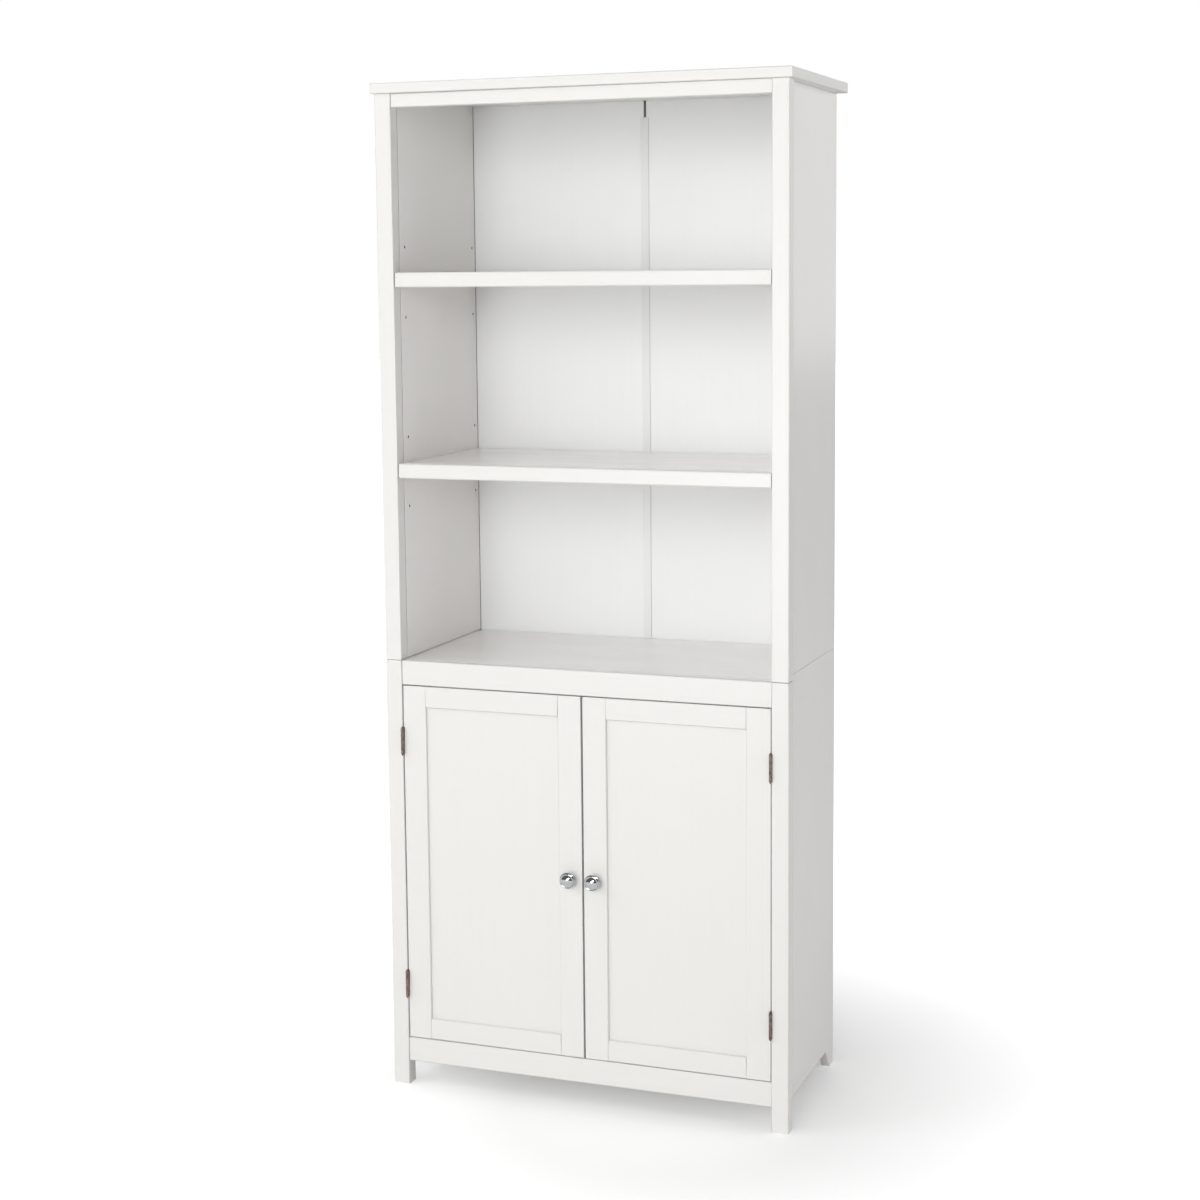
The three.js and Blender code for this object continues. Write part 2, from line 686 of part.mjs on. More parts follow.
function makeKnobScrew(word, sign) {
  const rear = doorRear + knobScrew.headDepth;
  const tip = doorFront - knobScrew.intoKnob;
  const screw = turned([
    [0, tip],
    [knobScrew.radius, tip],
    [knobScrew.radius, doorRear],
    [knobScrew.headRadius, doorRear],
    [knobScrew.headRadius, rear - knobScrew.headDepth / 2],
    [knobScrew.headRadius / 2, rear],
    [0, rear],
  ]);
  return piece(`door_${word}_knob_screw`, 'steel', screw.translate(sign * knobX, 0, knobHeight));
}

// The steel plate on the back of a door that the catch's magnet holds.
function makeStrike(word, sign) {
  const near = door.meetingGap / 2 + strike.fromMeeting;
  const [x0, x1] = spanX(sign, near, near + strike.width);
  const high = doorTop - strike.fromTop;
  const points = easedRectangle(x0, x1, high - strike.height, high, strike.cornerCut);
  const plate = alongZ(points, 0, strike.thickness).rotateX(Math.PI / 2);
  return piece(`door_${word}_strike`, 'steel', plate.translate(0, doorRear + strike.thickness, 0));
}

// A double magnetic catch on the back of the cabinet rail, its lip set back behind the doors' strikes.
function makeCatch() {
  const bottom = cabinetRailBottom - catchBlock.belowRail;
  const lipTop = cabinetRailBottom - seat;
  const lipFront = doorRear + strike.thickness + seat;
  const rear = railRear + catchBlock.depth;
  const top = bottom + catchBlock.height;
  const body = alongX([
    [lipFront, bottom],
    [rear, bottom],
    [rear, top],
    [railRear, top],
    [railRear, lipTop],
    [lipFront, lipTop],
  ], -catchBlock.width / 2, catchBlock.width / 2);
  return piece('magnetic_catch', 'plastic', body);
}

function upperUnit() {
  const parts = [makeTopBoard(), makeRail('top_rail', rails.top, null)];
  const backTop = topUnderside + back.grooveDepth;
  for (const [word, sign] of hands) {
    parts.push(makeUpperSide(word, sign));
    parts.push(makeUpperPost(word, sign));
    parts.push(makeBackHalf(`upper_back_panel_${word}`, sign, cabinet.height + seat, backTop));
  }
  parts.push(makeStrip('upper_back_strip', cabinet.height + seat, topUnderside));
  parts.push(...makeOpenShelf('upper', shelfTops.upper));
  parts.push(...makeOpenShelf('lower', shelfTops.lower));
  parts.push(...makeShelfPins('shelf_upper', shelfTops.upper, pinRow.fromFront));
  parts.push(...makeShelfPins('shelf_lower', shelfTops.lower, pinRow.fromFront));
  return parts;
}

function lowerUnit() {
  const ceiling = cabinet.height - board.thickness;
  const floor = bottomRailTop - board.thickness;
  const parts = [
    makeRail('cabinet_top_rail', rails.cabinet, ceiling + board.thickness / 2),
    makeFixedBoard('cabinet_top_board', ceiling),
    makeRail('cabinet_bottom_rail', rails.bottom, floor + board.thickness / 2),
    makeFixedBoard('cabinet_bottom_board', floor),
    makeCabinetShelf(),
    makeCatch(),
  ];
  for (const [word, sign] of hands) {
    parts.push(makeLowerSide(word, sign));
    parts.push(makeLowerPost(word, sign));
  }
  const reach = innerHalf + back.grooveDepth;
  const panel = block(-reach, reach, backFront, backRear, floor, cabinet.height);
  parts.push(piece('lower_back_panel', 'hardboard', panel));
  parts.push(...makeShelfPins('cabinet_shelf', shelfTops.cabinet, pinRow.cabinetFromFront));
  return parts;
}

function makeDoor(word, sign) {
  return [
    makeHingeStile(word, sign),
    makeMeetingStile(word, sign),
    makeDoorRail(word, sign, 'top'),
    makeDoorRail(word, sign, 'bottom'),
    makeDoorPanel(word, sign),
    makeKnob(word, sign),
    makeKnobScrew(word, sign),
    makeStrike(word, sign),
  ];
}

// Everything together, then centred front to back between the knobs and the wall side.
const model = new THREE.Group();
model.add(...upperUnit());
model.add(...lowerUnit());
model.add(...makeHinges());
for (const [word, sign] of hands) {
  model.add(...makeDoor(word, sign));
}

const knobFront = doorFront - knob.length;
model.position.y = -(bookcase.depth + knobFront) / 2;

export default model;
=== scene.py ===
"""The looks of a white bookcase with cabinet doors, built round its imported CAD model.

It is for Blender 4.5, in metres, and laid out as an add-on: the settings that a user would change, an
operator for each group of like pieces and one for the stage, and a panel that lists them.
"""

import json
import math

import bmesh
import bpy
import numpy as np
from mathutils import Matrix, Vector

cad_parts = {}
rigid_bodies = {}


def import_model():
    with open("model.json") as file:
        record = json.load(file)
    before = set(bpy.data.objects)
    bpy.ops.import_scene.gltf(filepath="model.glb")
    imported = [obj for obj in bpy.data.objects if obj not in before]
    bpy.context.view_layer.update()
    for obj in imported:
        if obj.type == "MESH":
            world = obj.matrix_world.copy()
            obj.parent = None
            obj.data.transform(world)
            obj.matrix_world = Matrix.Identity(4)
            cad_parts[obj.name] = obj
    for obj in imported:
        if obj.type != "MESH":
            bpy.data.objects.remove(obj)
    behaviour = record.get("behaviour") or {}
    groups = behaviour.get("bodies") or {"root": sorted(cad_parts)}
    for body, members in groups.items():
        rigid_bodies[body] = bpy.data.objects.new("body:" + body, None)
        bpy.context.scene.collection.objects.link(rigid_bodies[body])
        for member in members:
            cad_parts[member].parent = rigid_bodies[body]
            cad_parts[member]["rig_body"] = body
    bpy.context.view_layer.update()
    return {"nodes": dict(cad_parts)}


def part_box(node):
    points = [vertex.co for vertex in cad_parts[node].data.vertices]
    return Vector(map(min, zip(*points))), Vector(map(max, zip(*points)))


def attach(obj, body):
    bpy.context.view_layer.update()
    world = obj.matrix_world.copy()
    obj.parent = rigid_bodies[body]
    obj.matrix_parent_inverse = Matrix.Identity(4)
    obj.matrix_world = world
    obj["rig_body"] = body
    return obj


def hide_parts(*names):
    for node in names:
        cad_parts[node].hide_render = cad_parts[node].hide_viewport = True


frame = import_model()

bl_info = {
    "name": "Bookcase with cabinet doors",
    "version": (1, 0, 0),
    "blender": (4, 5, 0),
    "location": "3D View > Sidebar > Bookcase",
    "description": "Builds the painted boards, the hinges, knobs and fittings, and a pale studio stage",
    "category": "Object",
}

MM = 0.001
NODES = frame["nodes"]
HANDS = {"left": -1, "right": 1}
LEVELS = ("lower", "upper")
SHELVES = ("shelf_upper", "shelf_lower", "cabinet_shelf")
X, Y, Z = range(3)
RIGHT = (1, 0, 0)
FORWARD = (0, -1, 0)
BACKWARD = (0, 1, 0)
UP = (0, 0, 1)
# An edge is an arris where its faces turn this far and it is longer than the sides of a bored hole.
CORNER_TURN = math.radians(40)
SHORTEST_ARRIS = 2.5 * MM
# Points this near to a level of the CAD model lie on it.
AT_LEVEL = 0.05 * MM
# Noise keeps mostly between these values.
NOISE_SPAN = {"From Min": 0.3, "From Max": 0.7}


# Sizes read from the CAD model

def low_corner(node):
    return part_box(node)[0]


def high_corner(node):
    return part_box(node)[1]


def middle(node):
    low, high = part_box(node)
    return (low + high) / 2


# Settings that a user would change

def linear(code):
    """Turns an sRGB hex colour such as #F4F3F0 to the linear red, green and blue that Blender takes."""
    parts = np.array([int(code[i:i + 2], 16) for i in (1, 3, 5)]) / 255
    curve = np.where(parts <= 0.04045, parts / 12.92, ((parts + 0.055) / 1.055) ** 2.4)
    return tuple(float(part) for part in curve)


def colour(name, description, code):
    return bpy.props.FloatVectorProperty(
        name=name,
        description=description,
        default=(*linear(code), 1),
        min=0,
        max=1,
        size=4,
        subtype="COLOR",
    )


def number(name, description, value, **more):
    return bpy.props.FloatProperty(name=name, description=description, default=value, **more)


def length(name, description, millimetres):
    metres = millimetres * MM
    return number(name, description, metres, min=0, precision=4, subtype="DISTANCE", unit="LENGTH")


def angle(name, description, radians):
    return number(name, description, radians, subtype="ANGLE", unit="ROTATION")


def strength(name, description, value, unit="NONE"):
    return number(name, description, value, min=0, unit=unit)


class BookcaseFinishes(bpy.types.PropertyGroup):
    """The colours of the finishes."""

    paint: colour("Paint", "Satin white paint on the wood", "#ECEBE8")
    paint_shade: colour("Paint in the grain", "The paint where it is thin over the grain", "#E6E4E1")
    board_paint: colour("Board paint", "Rolled white lacquer on the side panels and shelves", "#F6F4F2")
    board_shade: colour("Board paint in the streaks", "Where that lacquer is thinner", "#EFEDEB")
    hardboard: colour("Hardboard", "White coating of the back panels", "#F8F9F9")
    hardboard_shade: colour("Hardboard streaks", "The faint upright streaks in that coating", "#F0F0EF")
    raw_board: colour("Raw board", "The brown fibreboard in bores and joints", "#6E5B48")
    # Painted shade: the brown of the thin line along the back panels' edges at the side panels, standing
    # in for the shade of that corner.
    painted_corner_shade: colour("Painted corner shade", "The brown board where the coat stops", "#5C4C3E")
    # Painted shade: the dark grey given to the slot above the back strip, where only shade falls.
    painted_slot_shade: colour("Painted slot shade", "The dark tape behind the slot above the back strip", "#5E5E60")
    plastic: colour("Plastic", "White plastic of the back strip and the catch", "#F1F2F1")
    plastic_shade: colour("Plastic's darker clouds", "Where its pigment is thinner", "#EAEBEA")
    chrome: colour("Chrome", "Polished chrome of the knobs", "#D9DADD")
    chrome_haze: colour("Chrome haze", "Where the knobs are handled", "#CFD0D3")
    nickel: colour("Nickel", "The bright parts of the aged hinges", "#AC978B")
    nickel_patina: colour("Nickel patina", "The brown patina of the hinges", "#6E5E55")
    zinc: colour("Zinc", "Zinc plate of the pins, screws and strike plates", "#C6C9CD")
    zinc_dull: colour("Dull zinc", "The duller patches of that plate", "#A7AAB0")


class BookcaseSizes(bpy.types.PropertyGroup):
    """Small sizes that the CAD model leaves plain."""

    arris: length("Arris", "Radius that sanding and paint leave on an edge", 0.9)
    unit_joint: length("Joint of the units", "Gap where the upper unit stands on the lower one", 0.9)
    butt_joint: length("Butt joints", "Gaps at the posts, where the rails and side panels end", 0.45)
    meeting_gap: length("Meeting gap", "What the gap between the doors adds to the CAD model's", 1.2)
    back_gap: length("Back gap", "Play between the upper back panels and their grooves' front", 0.7)
    # Width of the painted shade line along the back panels' edges at the side panels.
    corner_shade_width: length("Corner shade width", "How far the back panels' coat stops short of the side panels", 0.35)
    steel_edge: length("Steel edge", "Rounding of the edges of stamped steel", 0.25)
    screw_head: length("Hinge screw head", "Radius of a hinge screw's head", 3.1)
    cross_arm: length("Cross arm", "Half length of a screw's cross recess", 1.75)
    cross_width: length("Cross width", "Half width of a screw's cross recess", 0.42)
    cross_depth: length("Cross depth", "Depth of a screw's cross recess", 1.1)
    knuckle: length("Knuckle", "Radius of a hinge's knuckles, slimmer than the CAD model's", 2.6)
    knuckle_end: length("Knuckle end", "Rounding of the ends of a hinge's knuckles", 0.35)


class BookcaseStage(bpy.types.PropertyGroup):
    """The camera and the lamps."""

    lens: number("Lens", "Focal length for a sensor 36 mm wide", 65.02, subtype="DISTANCE_CAMERA")
    camera_place: bpy.props.FloatVectorProperty(
        name="Camera place",
        description="Where the camera stands",
        default=(1.3297, -3.6188, 1.4738),
        subtype="XYZ",
        unit="LENGTH",
    )
    turn: angle("Turn", "Turn of the camera from the wall's direction, to the left", 0.3582)
    tilt: angle("Tilt", "Tilt of the camera below the level", 0.1208)
    roll: angle("Roll", "Roll of the camera about its own axis", -0.009)
    shift: number("Shift", "Upright shift of the frame, as a share of its width", -0.055)
    front_power: strength("Front lamp", "Power of the large low lamp in front", 146, "POWER")
    high_power: strength("High lamp", "Power of the higher lamp in front", 44, "POWER")
    left_power: strength("Left lamp", "Power of the lamp that casts the floor's shadow", 50, "POWER")
    right_power: strength("Right lamp", "Power of the lamp that faces the right side", 55, "POWER")
    sky: strength("Sky", "Strength of the even light from all round", 0.3)
    studio: strength("Studio", "How bright a reflection shows the studio behind the camera", 0.13)
    floor: colour("Floor", "Pale floor", "#F2F2F2")


# Meshes

def closed_skin(rings, start):
    """Points and faces of a closed surface through a stack of rings, its points numbered from a start.

    The surface is the grid P(i, j) of ring i and place j round it. Four neighbours make a face, the last
    place of a ring joins its first, and a fan about the middle of each end ring closes the two ends.
    """
    rows, around = rings.shape[:2]
    index = start + np.arange(rows * around).reshape(rows, around)
    beside = np.roll(index, -1, axis=1)
    walls = np.stack([index[:-1], beside[:-1], beside[1:], index[1:]], axis=-1).reshape(-1, 4)
    first = np.full(around, start + rows * around)
    last = first + 1
    first_fan = np.stack([first, beside[0], index[0]], axis=-1)
    last_fan = np.stack([last, index[-1], beside[-1]], axis=-1)
    points = np.concatenate([rings.reshape(-1, 3), rings[:1].mean(axis=1), rings[-1:].mean(axis=1)])
    return points, walls.tolist() + first_fan.tolist() + last_fan.tolist()


def linked(name, data):
    """A new object in the scene."""
    made = bpy.data.objects.new(name, data)
    bpy.context.scene.collection.objects.link(made)
    return made


def fitted(mesh, finish, node=None, body=None):
    """Makes a mesh a piece with a finish, in the place of a CAD node or added to a body."""
    mesh.materials.append(material_of(finish))
    piece = linked(mesh.name, mesh)
    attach(piece, body or NODES[node]["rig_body"])
    if node:
        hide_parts(node)
    return piece


def surface_piece(name, skins, finish, node=None, body=None):
    """Makes one piece from closed skins, each an array of rings."""
    points = np.empty((0, 3))
    faces = []
    for rings in skins:
        more, their_faces = closed_skin(rings, len(points))
        points = np.concatenate([points, more])
        faces += their_faces
    mesh = bpy.data.meshes.new(name)
    mesh.from_pydata(points.tolist(), [], faces)
    shape = bmesh.new()
    shape.from_mesh(mesh)
    bmesh.ops.recalc_face_normals(shape, faces=shape.faces)
    shape.to_mesh(mesh)
    shape.free()
    mesh.shade_smooth()
    mesh.set_sharp_from_angle(angle=CORNER_TURN)
    fitted(mesh, finish, node, body)


def placed(rings, origin, right, up, along):
    """Carries rings from their axes x, y and z to the directions right, up and along at an origin."""
    axes = np.array([right, up, along], float)
    return rings @ axes + np.array(origin, float)


def turned(heights, radii, around=48):
    """Rings of a turned shape: P = (r(h) cos a, r(h) sin a, h) for the angle a once round."""
    way = np.linspace(0, 2 * np.pi, around, endpoint=False)
    heights = np.asarray(heights, float)
    radii = np.asarray(radii, float)
    across = radii[:, None] * np.cos(way)
    deep = radii[:, None] * np.sin(way)
    high = np.broadcast_to(heights[:, None], across.shape)
    return np.stack([across, deep, high], axis=-1)


def arc(height, radius, size, start, end, count=8):
    """Heights and radii of a profile along an arc of a size, about the point (height, radius).

    Its angle is in degrees, 0 straight outward and 90 straight up.
    """
    way = np.radians(np.linspace(start, end, count))
    return height + size * np.sin(way), radius + size * np.cos(way)


def joined_profile(*parts):
    """Heights and radii of several stretches of a profile, end to end."""
    heights = np.concatenate([np.atleast_1d(part[0]) for part in parts])
    radii = np.concatenate([np.atleast_1d(part[1]) for part in parts])
    return heights, radii


def rounded_outline(width, height, corner, count=24):
    """A rectangle with round corners.

    At angle a, x = sign(cos a) (width / 2 - corner) + corner cos a, and y is the same with the sine.
    """
    step = 2 * np.pi / count
    way = np.arange(count) * step + step / 2
    x = np.sign(np.cos(way)) * (width / 2 - corner) + corner * np.cos(way)
    y = np.sign(np.sin(way)) * (height / 2 - corner) + corner * np.sin(way)
    return np.stack([x, y], axis=-1)


def quarter_rounds(edge, thickness, steps=4):
    """How far an outline draws in, and at what height, along a quarter circle at each of two faces."""
    turn = np.linspace(0, np.pi / 2, steps)
    inset = edge * (1 - np.concatenate([np.sin(turn), np.sin(turn)[::-1]]))
    rise = edge * (1 - np.cos(turn))
    return inset, np.concatenate([rise, thickness - rise[::-1]])


def plate(width, height, thickness, corner, edge):
    """Rings of a flat plate, z from 0 to its thickness, its rim rounded by quarter circles."""
    rings = []
    for inset, level in zip(*quarter_rounds(edge, thickness)):
        line = rounded_outline(width - 2 * inset, height - 2 * inset, max(corner - inset, corner / 4))
        rings.append(np.column_stack([line, np.full(len(line), level)]))
    return np.array(rings)


def cross_outline(arm, width, around=48):
    """The outline of a cross recess, from the reach of two crossed rectangles.

    At angle a one reaches min(arm / |cos a|, width / |sin a|), the other the same a quarter turn on, and
    the outline takes the larger.
    """
    way = np.linspace(0, 2 * np.pi, around, endpoint=False) + np.pi / 4
    side = np.maximum(np.abs(np.cos(way)), 1e-9)
    rise = np.maximum(np.abs(np.sin(way)), 1e-9)
    reach = np.maximum(np.minimum(arm / side, width / rise), np.minimum(width / side, arm / rise))
    return np.stack([reach * np.cos(way), reach * np.sin(way)], axis=-1)


def screw_head(profile, sizes, top):
    """A screw's head: a turned rim, then the cross outline at its top and, smaller, down to its depth.

    The rim is turned an eighth round, so that its points face those of the cross.
    """
    rim = turned(*profile)
    half = math.sqrt(0.5)
    rim = np.concatenate([rim[..., :2] @ np.array([[half, half], [-half, half]]), rim[..., 2:]], axis=-1)
    line = cross_outline(sizes.cross_arm, sizes.cross_width)
    stack = [rim]
    for scale, level in ((1.0, top), (0.94, top - 0.1 * MM), (0.6, top - sizes.cross_depth)):
        ring = np.column_stack([line * scale, np.full(len(line), level)])
        stack.append(ring[None])
    return np.concatenate(stack)


def sunk_head(radius, sizes, depth=0.6 * MM, shoulder=0.05 * MM, lip=0):
    """A countersunk screw's head, from a depth below the face round it to just above that face."""
    edge = 0.14 * MM
    profile = joined_profile(
        (-depth, radius * 0.6),
        (-shoulder, radius),
        arc(-lip, radius - 0.15 * MM, edge, 0, 80, 4),
    )
    return screw_head(profile, sizes, edge)


def merged_copy(node, square=None):
    """A mesh with a CAD node's own shape, its loose triangles merged and its flat faces made whole.

    The edges that get an arris carry a bevel weight of 1. Those at one level of an axis can stay square.
    """
    mesh = bpy.data.meshes.new(f"{node}_finished")
    shape = bmesh.new()
    shape.from_mesh(NODES[node].data)
    bmesh.ops.remove_doubles(shape, verts=shape.verts, dist=0.001 * MM)
    bmesh.ops.dissolve_limit(shape, angle_limit=math.radians(1), verts=shape.verts, edges=shape.edges)
    bmesh.ops.recalc_face_normals(shape, faces=shape.faces)
    weights = shape.edges.layers.float.new("bevel_weight_edge")
    for edge in shape.edges:
        corner = edge.calc_face_angle(0) > CORNER_TURN
        kept = edge.calc_length() < SHORTEST_ARRIS
        if square:
            axis, level = square
            kept = kept or all(abs(end.co[axis] - level) < AT_LEVEL for end in edge.verts)
        edge[weights] = corner and not kept
        edge.smooth = not (corner and kept)
    shape.to_mesh(mesh)
    shape.free()
    for custom in [each for each in mesh.attributes if each.name == "custom_normal"]:
        mesh.attributes.remove(custom)
    return mesh


def moved_face(mesh, axis, level, amount):
    """Moves a mesh's flat faces at one level of an axis: level + amount wherever a point lies there."""
    places = np.empty(len(mesh.vertices) * 3)
    mesh.vertices.foreach_get("co", places)
    places = places.reshape(-1, 3)
    places[np.abs(places[:, axis] - level) < AT_LEVEL, axis] += amount
    mesh.vertices.foreach_set("co", places.ravel())
    mesh.update()


def finished_copy(node, finish, width=0, square=None):
    """Puts a merged copy in the place of a CAD node, its arrises rounded where a width is given.

    Bored holes keep their sharp rims. What comes back is the copy's mesh.
    """
    mesh = merged_copy(node, square)
    piece = fitted(mesh, finish, node)
    if width:
        mesh.shade_smooth()
        ease = piece.modifiers.new("Arris", "BEVEL")
        ease.width = width
        ease.segments = 3
        ease.limit_method = "WEIGHT"
        ease.use_clamp_overlap = False
        ease.harden_normals = True
    return mesh


def refinish(node, finish):
    """Gives a CAD node that keeps its own mesh a new material."""
    piece = NODES[node]
    piece.data.materials.clear()
    piece.data.materials.append(material_of(finish))


# Materials

def add(tree, kind, inputs=None, **settings):
    """Adds a shader node with its settings. An input takes a number, a colour, an output or a node."""
    made = tree.nodes.new("ShaderNode" + kind)
    for key, value in settings.items():
        setattr(made, key, value)
    for key, value in (inputs or {}).items():
        if isinstance(value, bpy.types.Node):
            value = next(output for output in value.outputs if output.enabled)
        if isinstance(value, bpy.types.NodeSocket):
            tree.links.new(value, made.inputs[key])
        else:
            made.inputs[key].default_value = value
    return made


def emptied(owner):
    """The node tree of a new material or world, without its first nodes."""
    owner.use_nodes = True
    owner.node_tree.nodes.clear()
    return owner.node_tree


def new_material(name):
    """An empty material, its node tree, the piece's own coordinates and the colours of the finishes."""
    material = bpy.data.materials.new(name)
    tree = emptied(material)
    place = add(tree, "TexCoord").outputs["Object"]
    return material, tree, place, bpy.context.scene.bookcase_finishes


def spots(place, across, along, axis):
    """Coordinates for a pattern whose spots are across mm wide, and along mm long on one axis."""
    scale = [1 / (across * MM)] * 3
    scale[axis] = 1 / (along * MM)
    return {"Vector": place, "Scale": scale}


def shades(share, first, second):
    """Inputs of a Mix node, whose two colours go by place because other inputs have the same names."""
    return {"Factor": share, 6: first, 7: second}


def within(tree, place, low, high, inner, outer):
    """One colour inside a box and its twin on the object's other side, and another outside them."""
    parts = add(tree, "SeparateXYZ", {"Vector": place})
    side = add(tree, "Math", {0: parts.outputs["X"]}, operation="ABSOLUTE")
    mask = 1.0
    for value, start, end in zip((side, parts.outputs["Y"], parts.outputs["Z"]), low, high):
        centre = (start + end) / 2
        near = add(tree, "Math", {0: value, 1: centre, 2: (end - start) / 2}, operation="COMPARE")
        mask = add(tree, "Math", {0: mask, 1: near}, operation="MULTIPLY")
    return add(tree, "Mix", shades(mask, outer, inner), data_type="RGBA")


def surfaced(material, tree, surface, *bumps):
    """Ends a material: bumps, each a pattern and its depth in mm, and the shader over them."""
    for pattern, depth in bumps:
        bump = {"Height": pattern, "Distance": depth * MM}
        if "Normal" in surface:
            bump["Normal"] = surface["Normal"]
        surface["Normal"] = add(tree, "Bump", bump)
    shader = add(tree, "BsdfPrincipled", surface)
    add(tree, "OutputMaterial", {"Surface": shader})
    return material


def painted_wood(name, axis):
    """Satin white lacquer sprayed on sanded pine: even and softly glossy, the grain as faint ridges."""
    material, tree, place, colours = new_material(name)
    # Pine's rings come every 3 mm or so across a face and run 220 mm along it.
    grain = add(tree, "Mapping", spots(place, 3, 220, axis))
    grain = add(tree, "TexNoise", {"Vector": grain, "Scale": 1, "Detail": 3})
    # The spray dries with an orange peel of about 1.5 mm.
    peel = add(tree, "Mapping", spots(place, 1.5, 1.5, axis))
    peel = add(tree, "TexNoise", {"Vector": peel, "Scale": 1, "Detail": 2})
    # Its gloss drifts over a hand's breadth.
    drift = add(tree, "Mapping", spots(place, 90, 260, axis))
    drift = add(tree, "TexNoise", {"Vector": drift, "Scale": 1, "Detail": 2})
    thin = add(tree, "MapRange", {**NOISE_SPAN, "Value": grain, "To Max": 0.22})
    tint = add(tree, "Mix", shades(thin, colours.paint, colours.paint_shade), data_type="RGBA")
    gloss = add(tree, "MapRange", {**NOISE_SPAN, "Value": drift, "To Min": 0.28, "To Max": 0.36})
    surface = {"Base Color": tint, "Roughness": gloss, "IOR": 1.5}
    return surfaced(material, tree, surface, (grain, 0.012), (peel, 0.012))


def painted_board(name, axis, side_panel=False):
    """Satin white lacquer rolled on fibreboard: flatter than on pine, with fine streaks along the board.

    The bores and the front ends of the side panels are left bare.
    """
    material, tree, place, colours = new_material(name)
    # The roller leaves streaks 2.2 mm wide that run 420 mm.
    streak = add(tree, "Mapping", spots(place, 2.2, 420, axis))
    streak = add(tree, "TexNoise", {"Vector": streak, "Scale": 1, "Detail": 2})
    # Its stipple is about 1.8 mm.
    peel = add(tree, "Mapping", spots(place, 1.8, 1.8, axis))
    peel = add(tree, "TexNoise", {"Vector": peel, "Scale": 1, "Detail": 2})
    # Its gloss drifts over a hand's breadth and more.
    drift = add(tree, "Mapping", spots(place, 120, 300, axis))
    drift = add(tree, "TexNoise", {"Vector": drift, "Scale": 1, "Detail": 2})
    thin = add(tree, "MapRange", {**NOISE_SPAN, "Value": streak, "To Max": 0.22})
    tint = add(tree, "Mix", shades(thin, colours.board_paint, colours.board_shade), data_type="RGBA")
    if side_panel:
        # The bare part keeps clear of the painted faces, the foot, the lap of the units and the rear.
        skin = 0.5 * MM
        lap = 21 * MM
        rear = 12 * MM
        for level, foot in (("lower", 110 * MM), ("upper", 27 * MM)):
            low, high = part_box(f"{level}_side_panel_right")
            first = (low.x + skin, low.y - skin, low.z + foot)
            last = (high.x - skin, high.y - rear, high.z - lap)
            tint = within(tree, place, first, last, colours.raw_board, tint)
    gloss = add(tree, "MapRange", {**NOISE_SPAN, "Value": drift, "To Min": 0.18, "To Max": 0.25})
    surface = {"Base Color": tint, "Roughness": gloss, "IOR": 1.5}
    return surfaced(material, tree, surface, (streak, 0.008), (peel, 0.012))


def coated_hardboard(name):
    """White coated hardboard, pressed and printed by roller: faint upright streaks in a dull coat."""
    material, tree, place, colours = new_material(name)
    # The print's streaks are about 2.5 mm wide and 350 mm long.
    streak = add(tree, "Mapping", spots(place, 2.5, 350, Z))
    streak = add(tree, "TexNoise", {"Vector": streak, "Scale": 1, "Detail": 3})
    # Wood fibres of 1 to 2 mm show through the coat.
    fibre = add(tree, "Mapping", spots(place, 0.9, 2, Z))
    fibre = add(tree, "TexNoise", {"Vector": fibre, "Scale": 1, "Detail": 2})
    thin = add(tree, "MapRange", {**NOISE_SPAN, "Value": streak, "To Max": 0.24})
    tint = add(tree, "Mix", shades(thin, colours.hardboard, colours.hardboard_shade), data_type="RGBA")
    # A thin dark brown line is painted along the back panels' edges where they meet the side panels:
    # painted shade of that corner.
    # The box is open to the other sides, each of its limits past the object.
    coated = low_corner("lower_post_right").x - bpy.context.scene.bookcase_sizes.corner_shade_width
    tint = within(tree, place, (coated, -1, -1), (1, 1, 2), colours.painted_corner_shade, tint)
    gloss = add(tree, "MapRange", {**NOISE_SPAN, "Value": fibre, "To Min": 0.42, "To Max": 0.5})
    surface = {"Base Color": tint, "Roughness": gloss, "IOR": 1.5}
    return surfaced(material, tree, surface, (streak, 0.008), (fibre, 0.012))


def drawn_plastic(name, axis, back_strip=False):
    """White polystyrene drawn through a die or moulded: fine lines along it and a soft gloss.

    The back strip's front flange ends short of the top board. The slot above it is coloured dark grey as
    painted shade.
    """
    material, tree, place, colours = new_material(name)
    # The die leaves lines about 0.4 mm apart.
    lines = add(tree, "Mapping", spots(place, 0.4, 200, axis))
    lines = add(tree, "TexNoise", {"Vector": lines, "Scale": 1, "Detail": 2})
    # The pigment is a little uneven over 30 mm and more.
    cloud = add(tree, "Mapping", spots(place, 30, 120, axis))
    cloud = add(tree, "TexNoise", {"Vector": cloud, "Scale": 1, "Detail": 2})
    tint = add(tree, "Mix", shades(cloud, colours.plastic, colours.plastic_shade), data_type="RGBA")
    if back_strip:
        # The slot is 30 mm high, and its surfaces are coloured dark grey as painted shade. The rear 0.5
        # mm of the strip stays white.
        low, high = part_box("upper_back_strip")
        first = (-1, low.y, high.z - 29.9 * MM)
        last = (1, high.y - 0.5 * MM, high.z)
        tint = within(tree, place, first, last, colours.painted_slot_shade, tint)
    gloss = add(tree, "MapRange", {**NOISE_SPAN, "Value": lines, "To Min": 0.28, "To Max": 0.38})
    surface = {"Base Color": tint, "Roughness": gloss, "IOR": 1.59}
    return surfaced(material, tree, surface, (lines, 0.006))


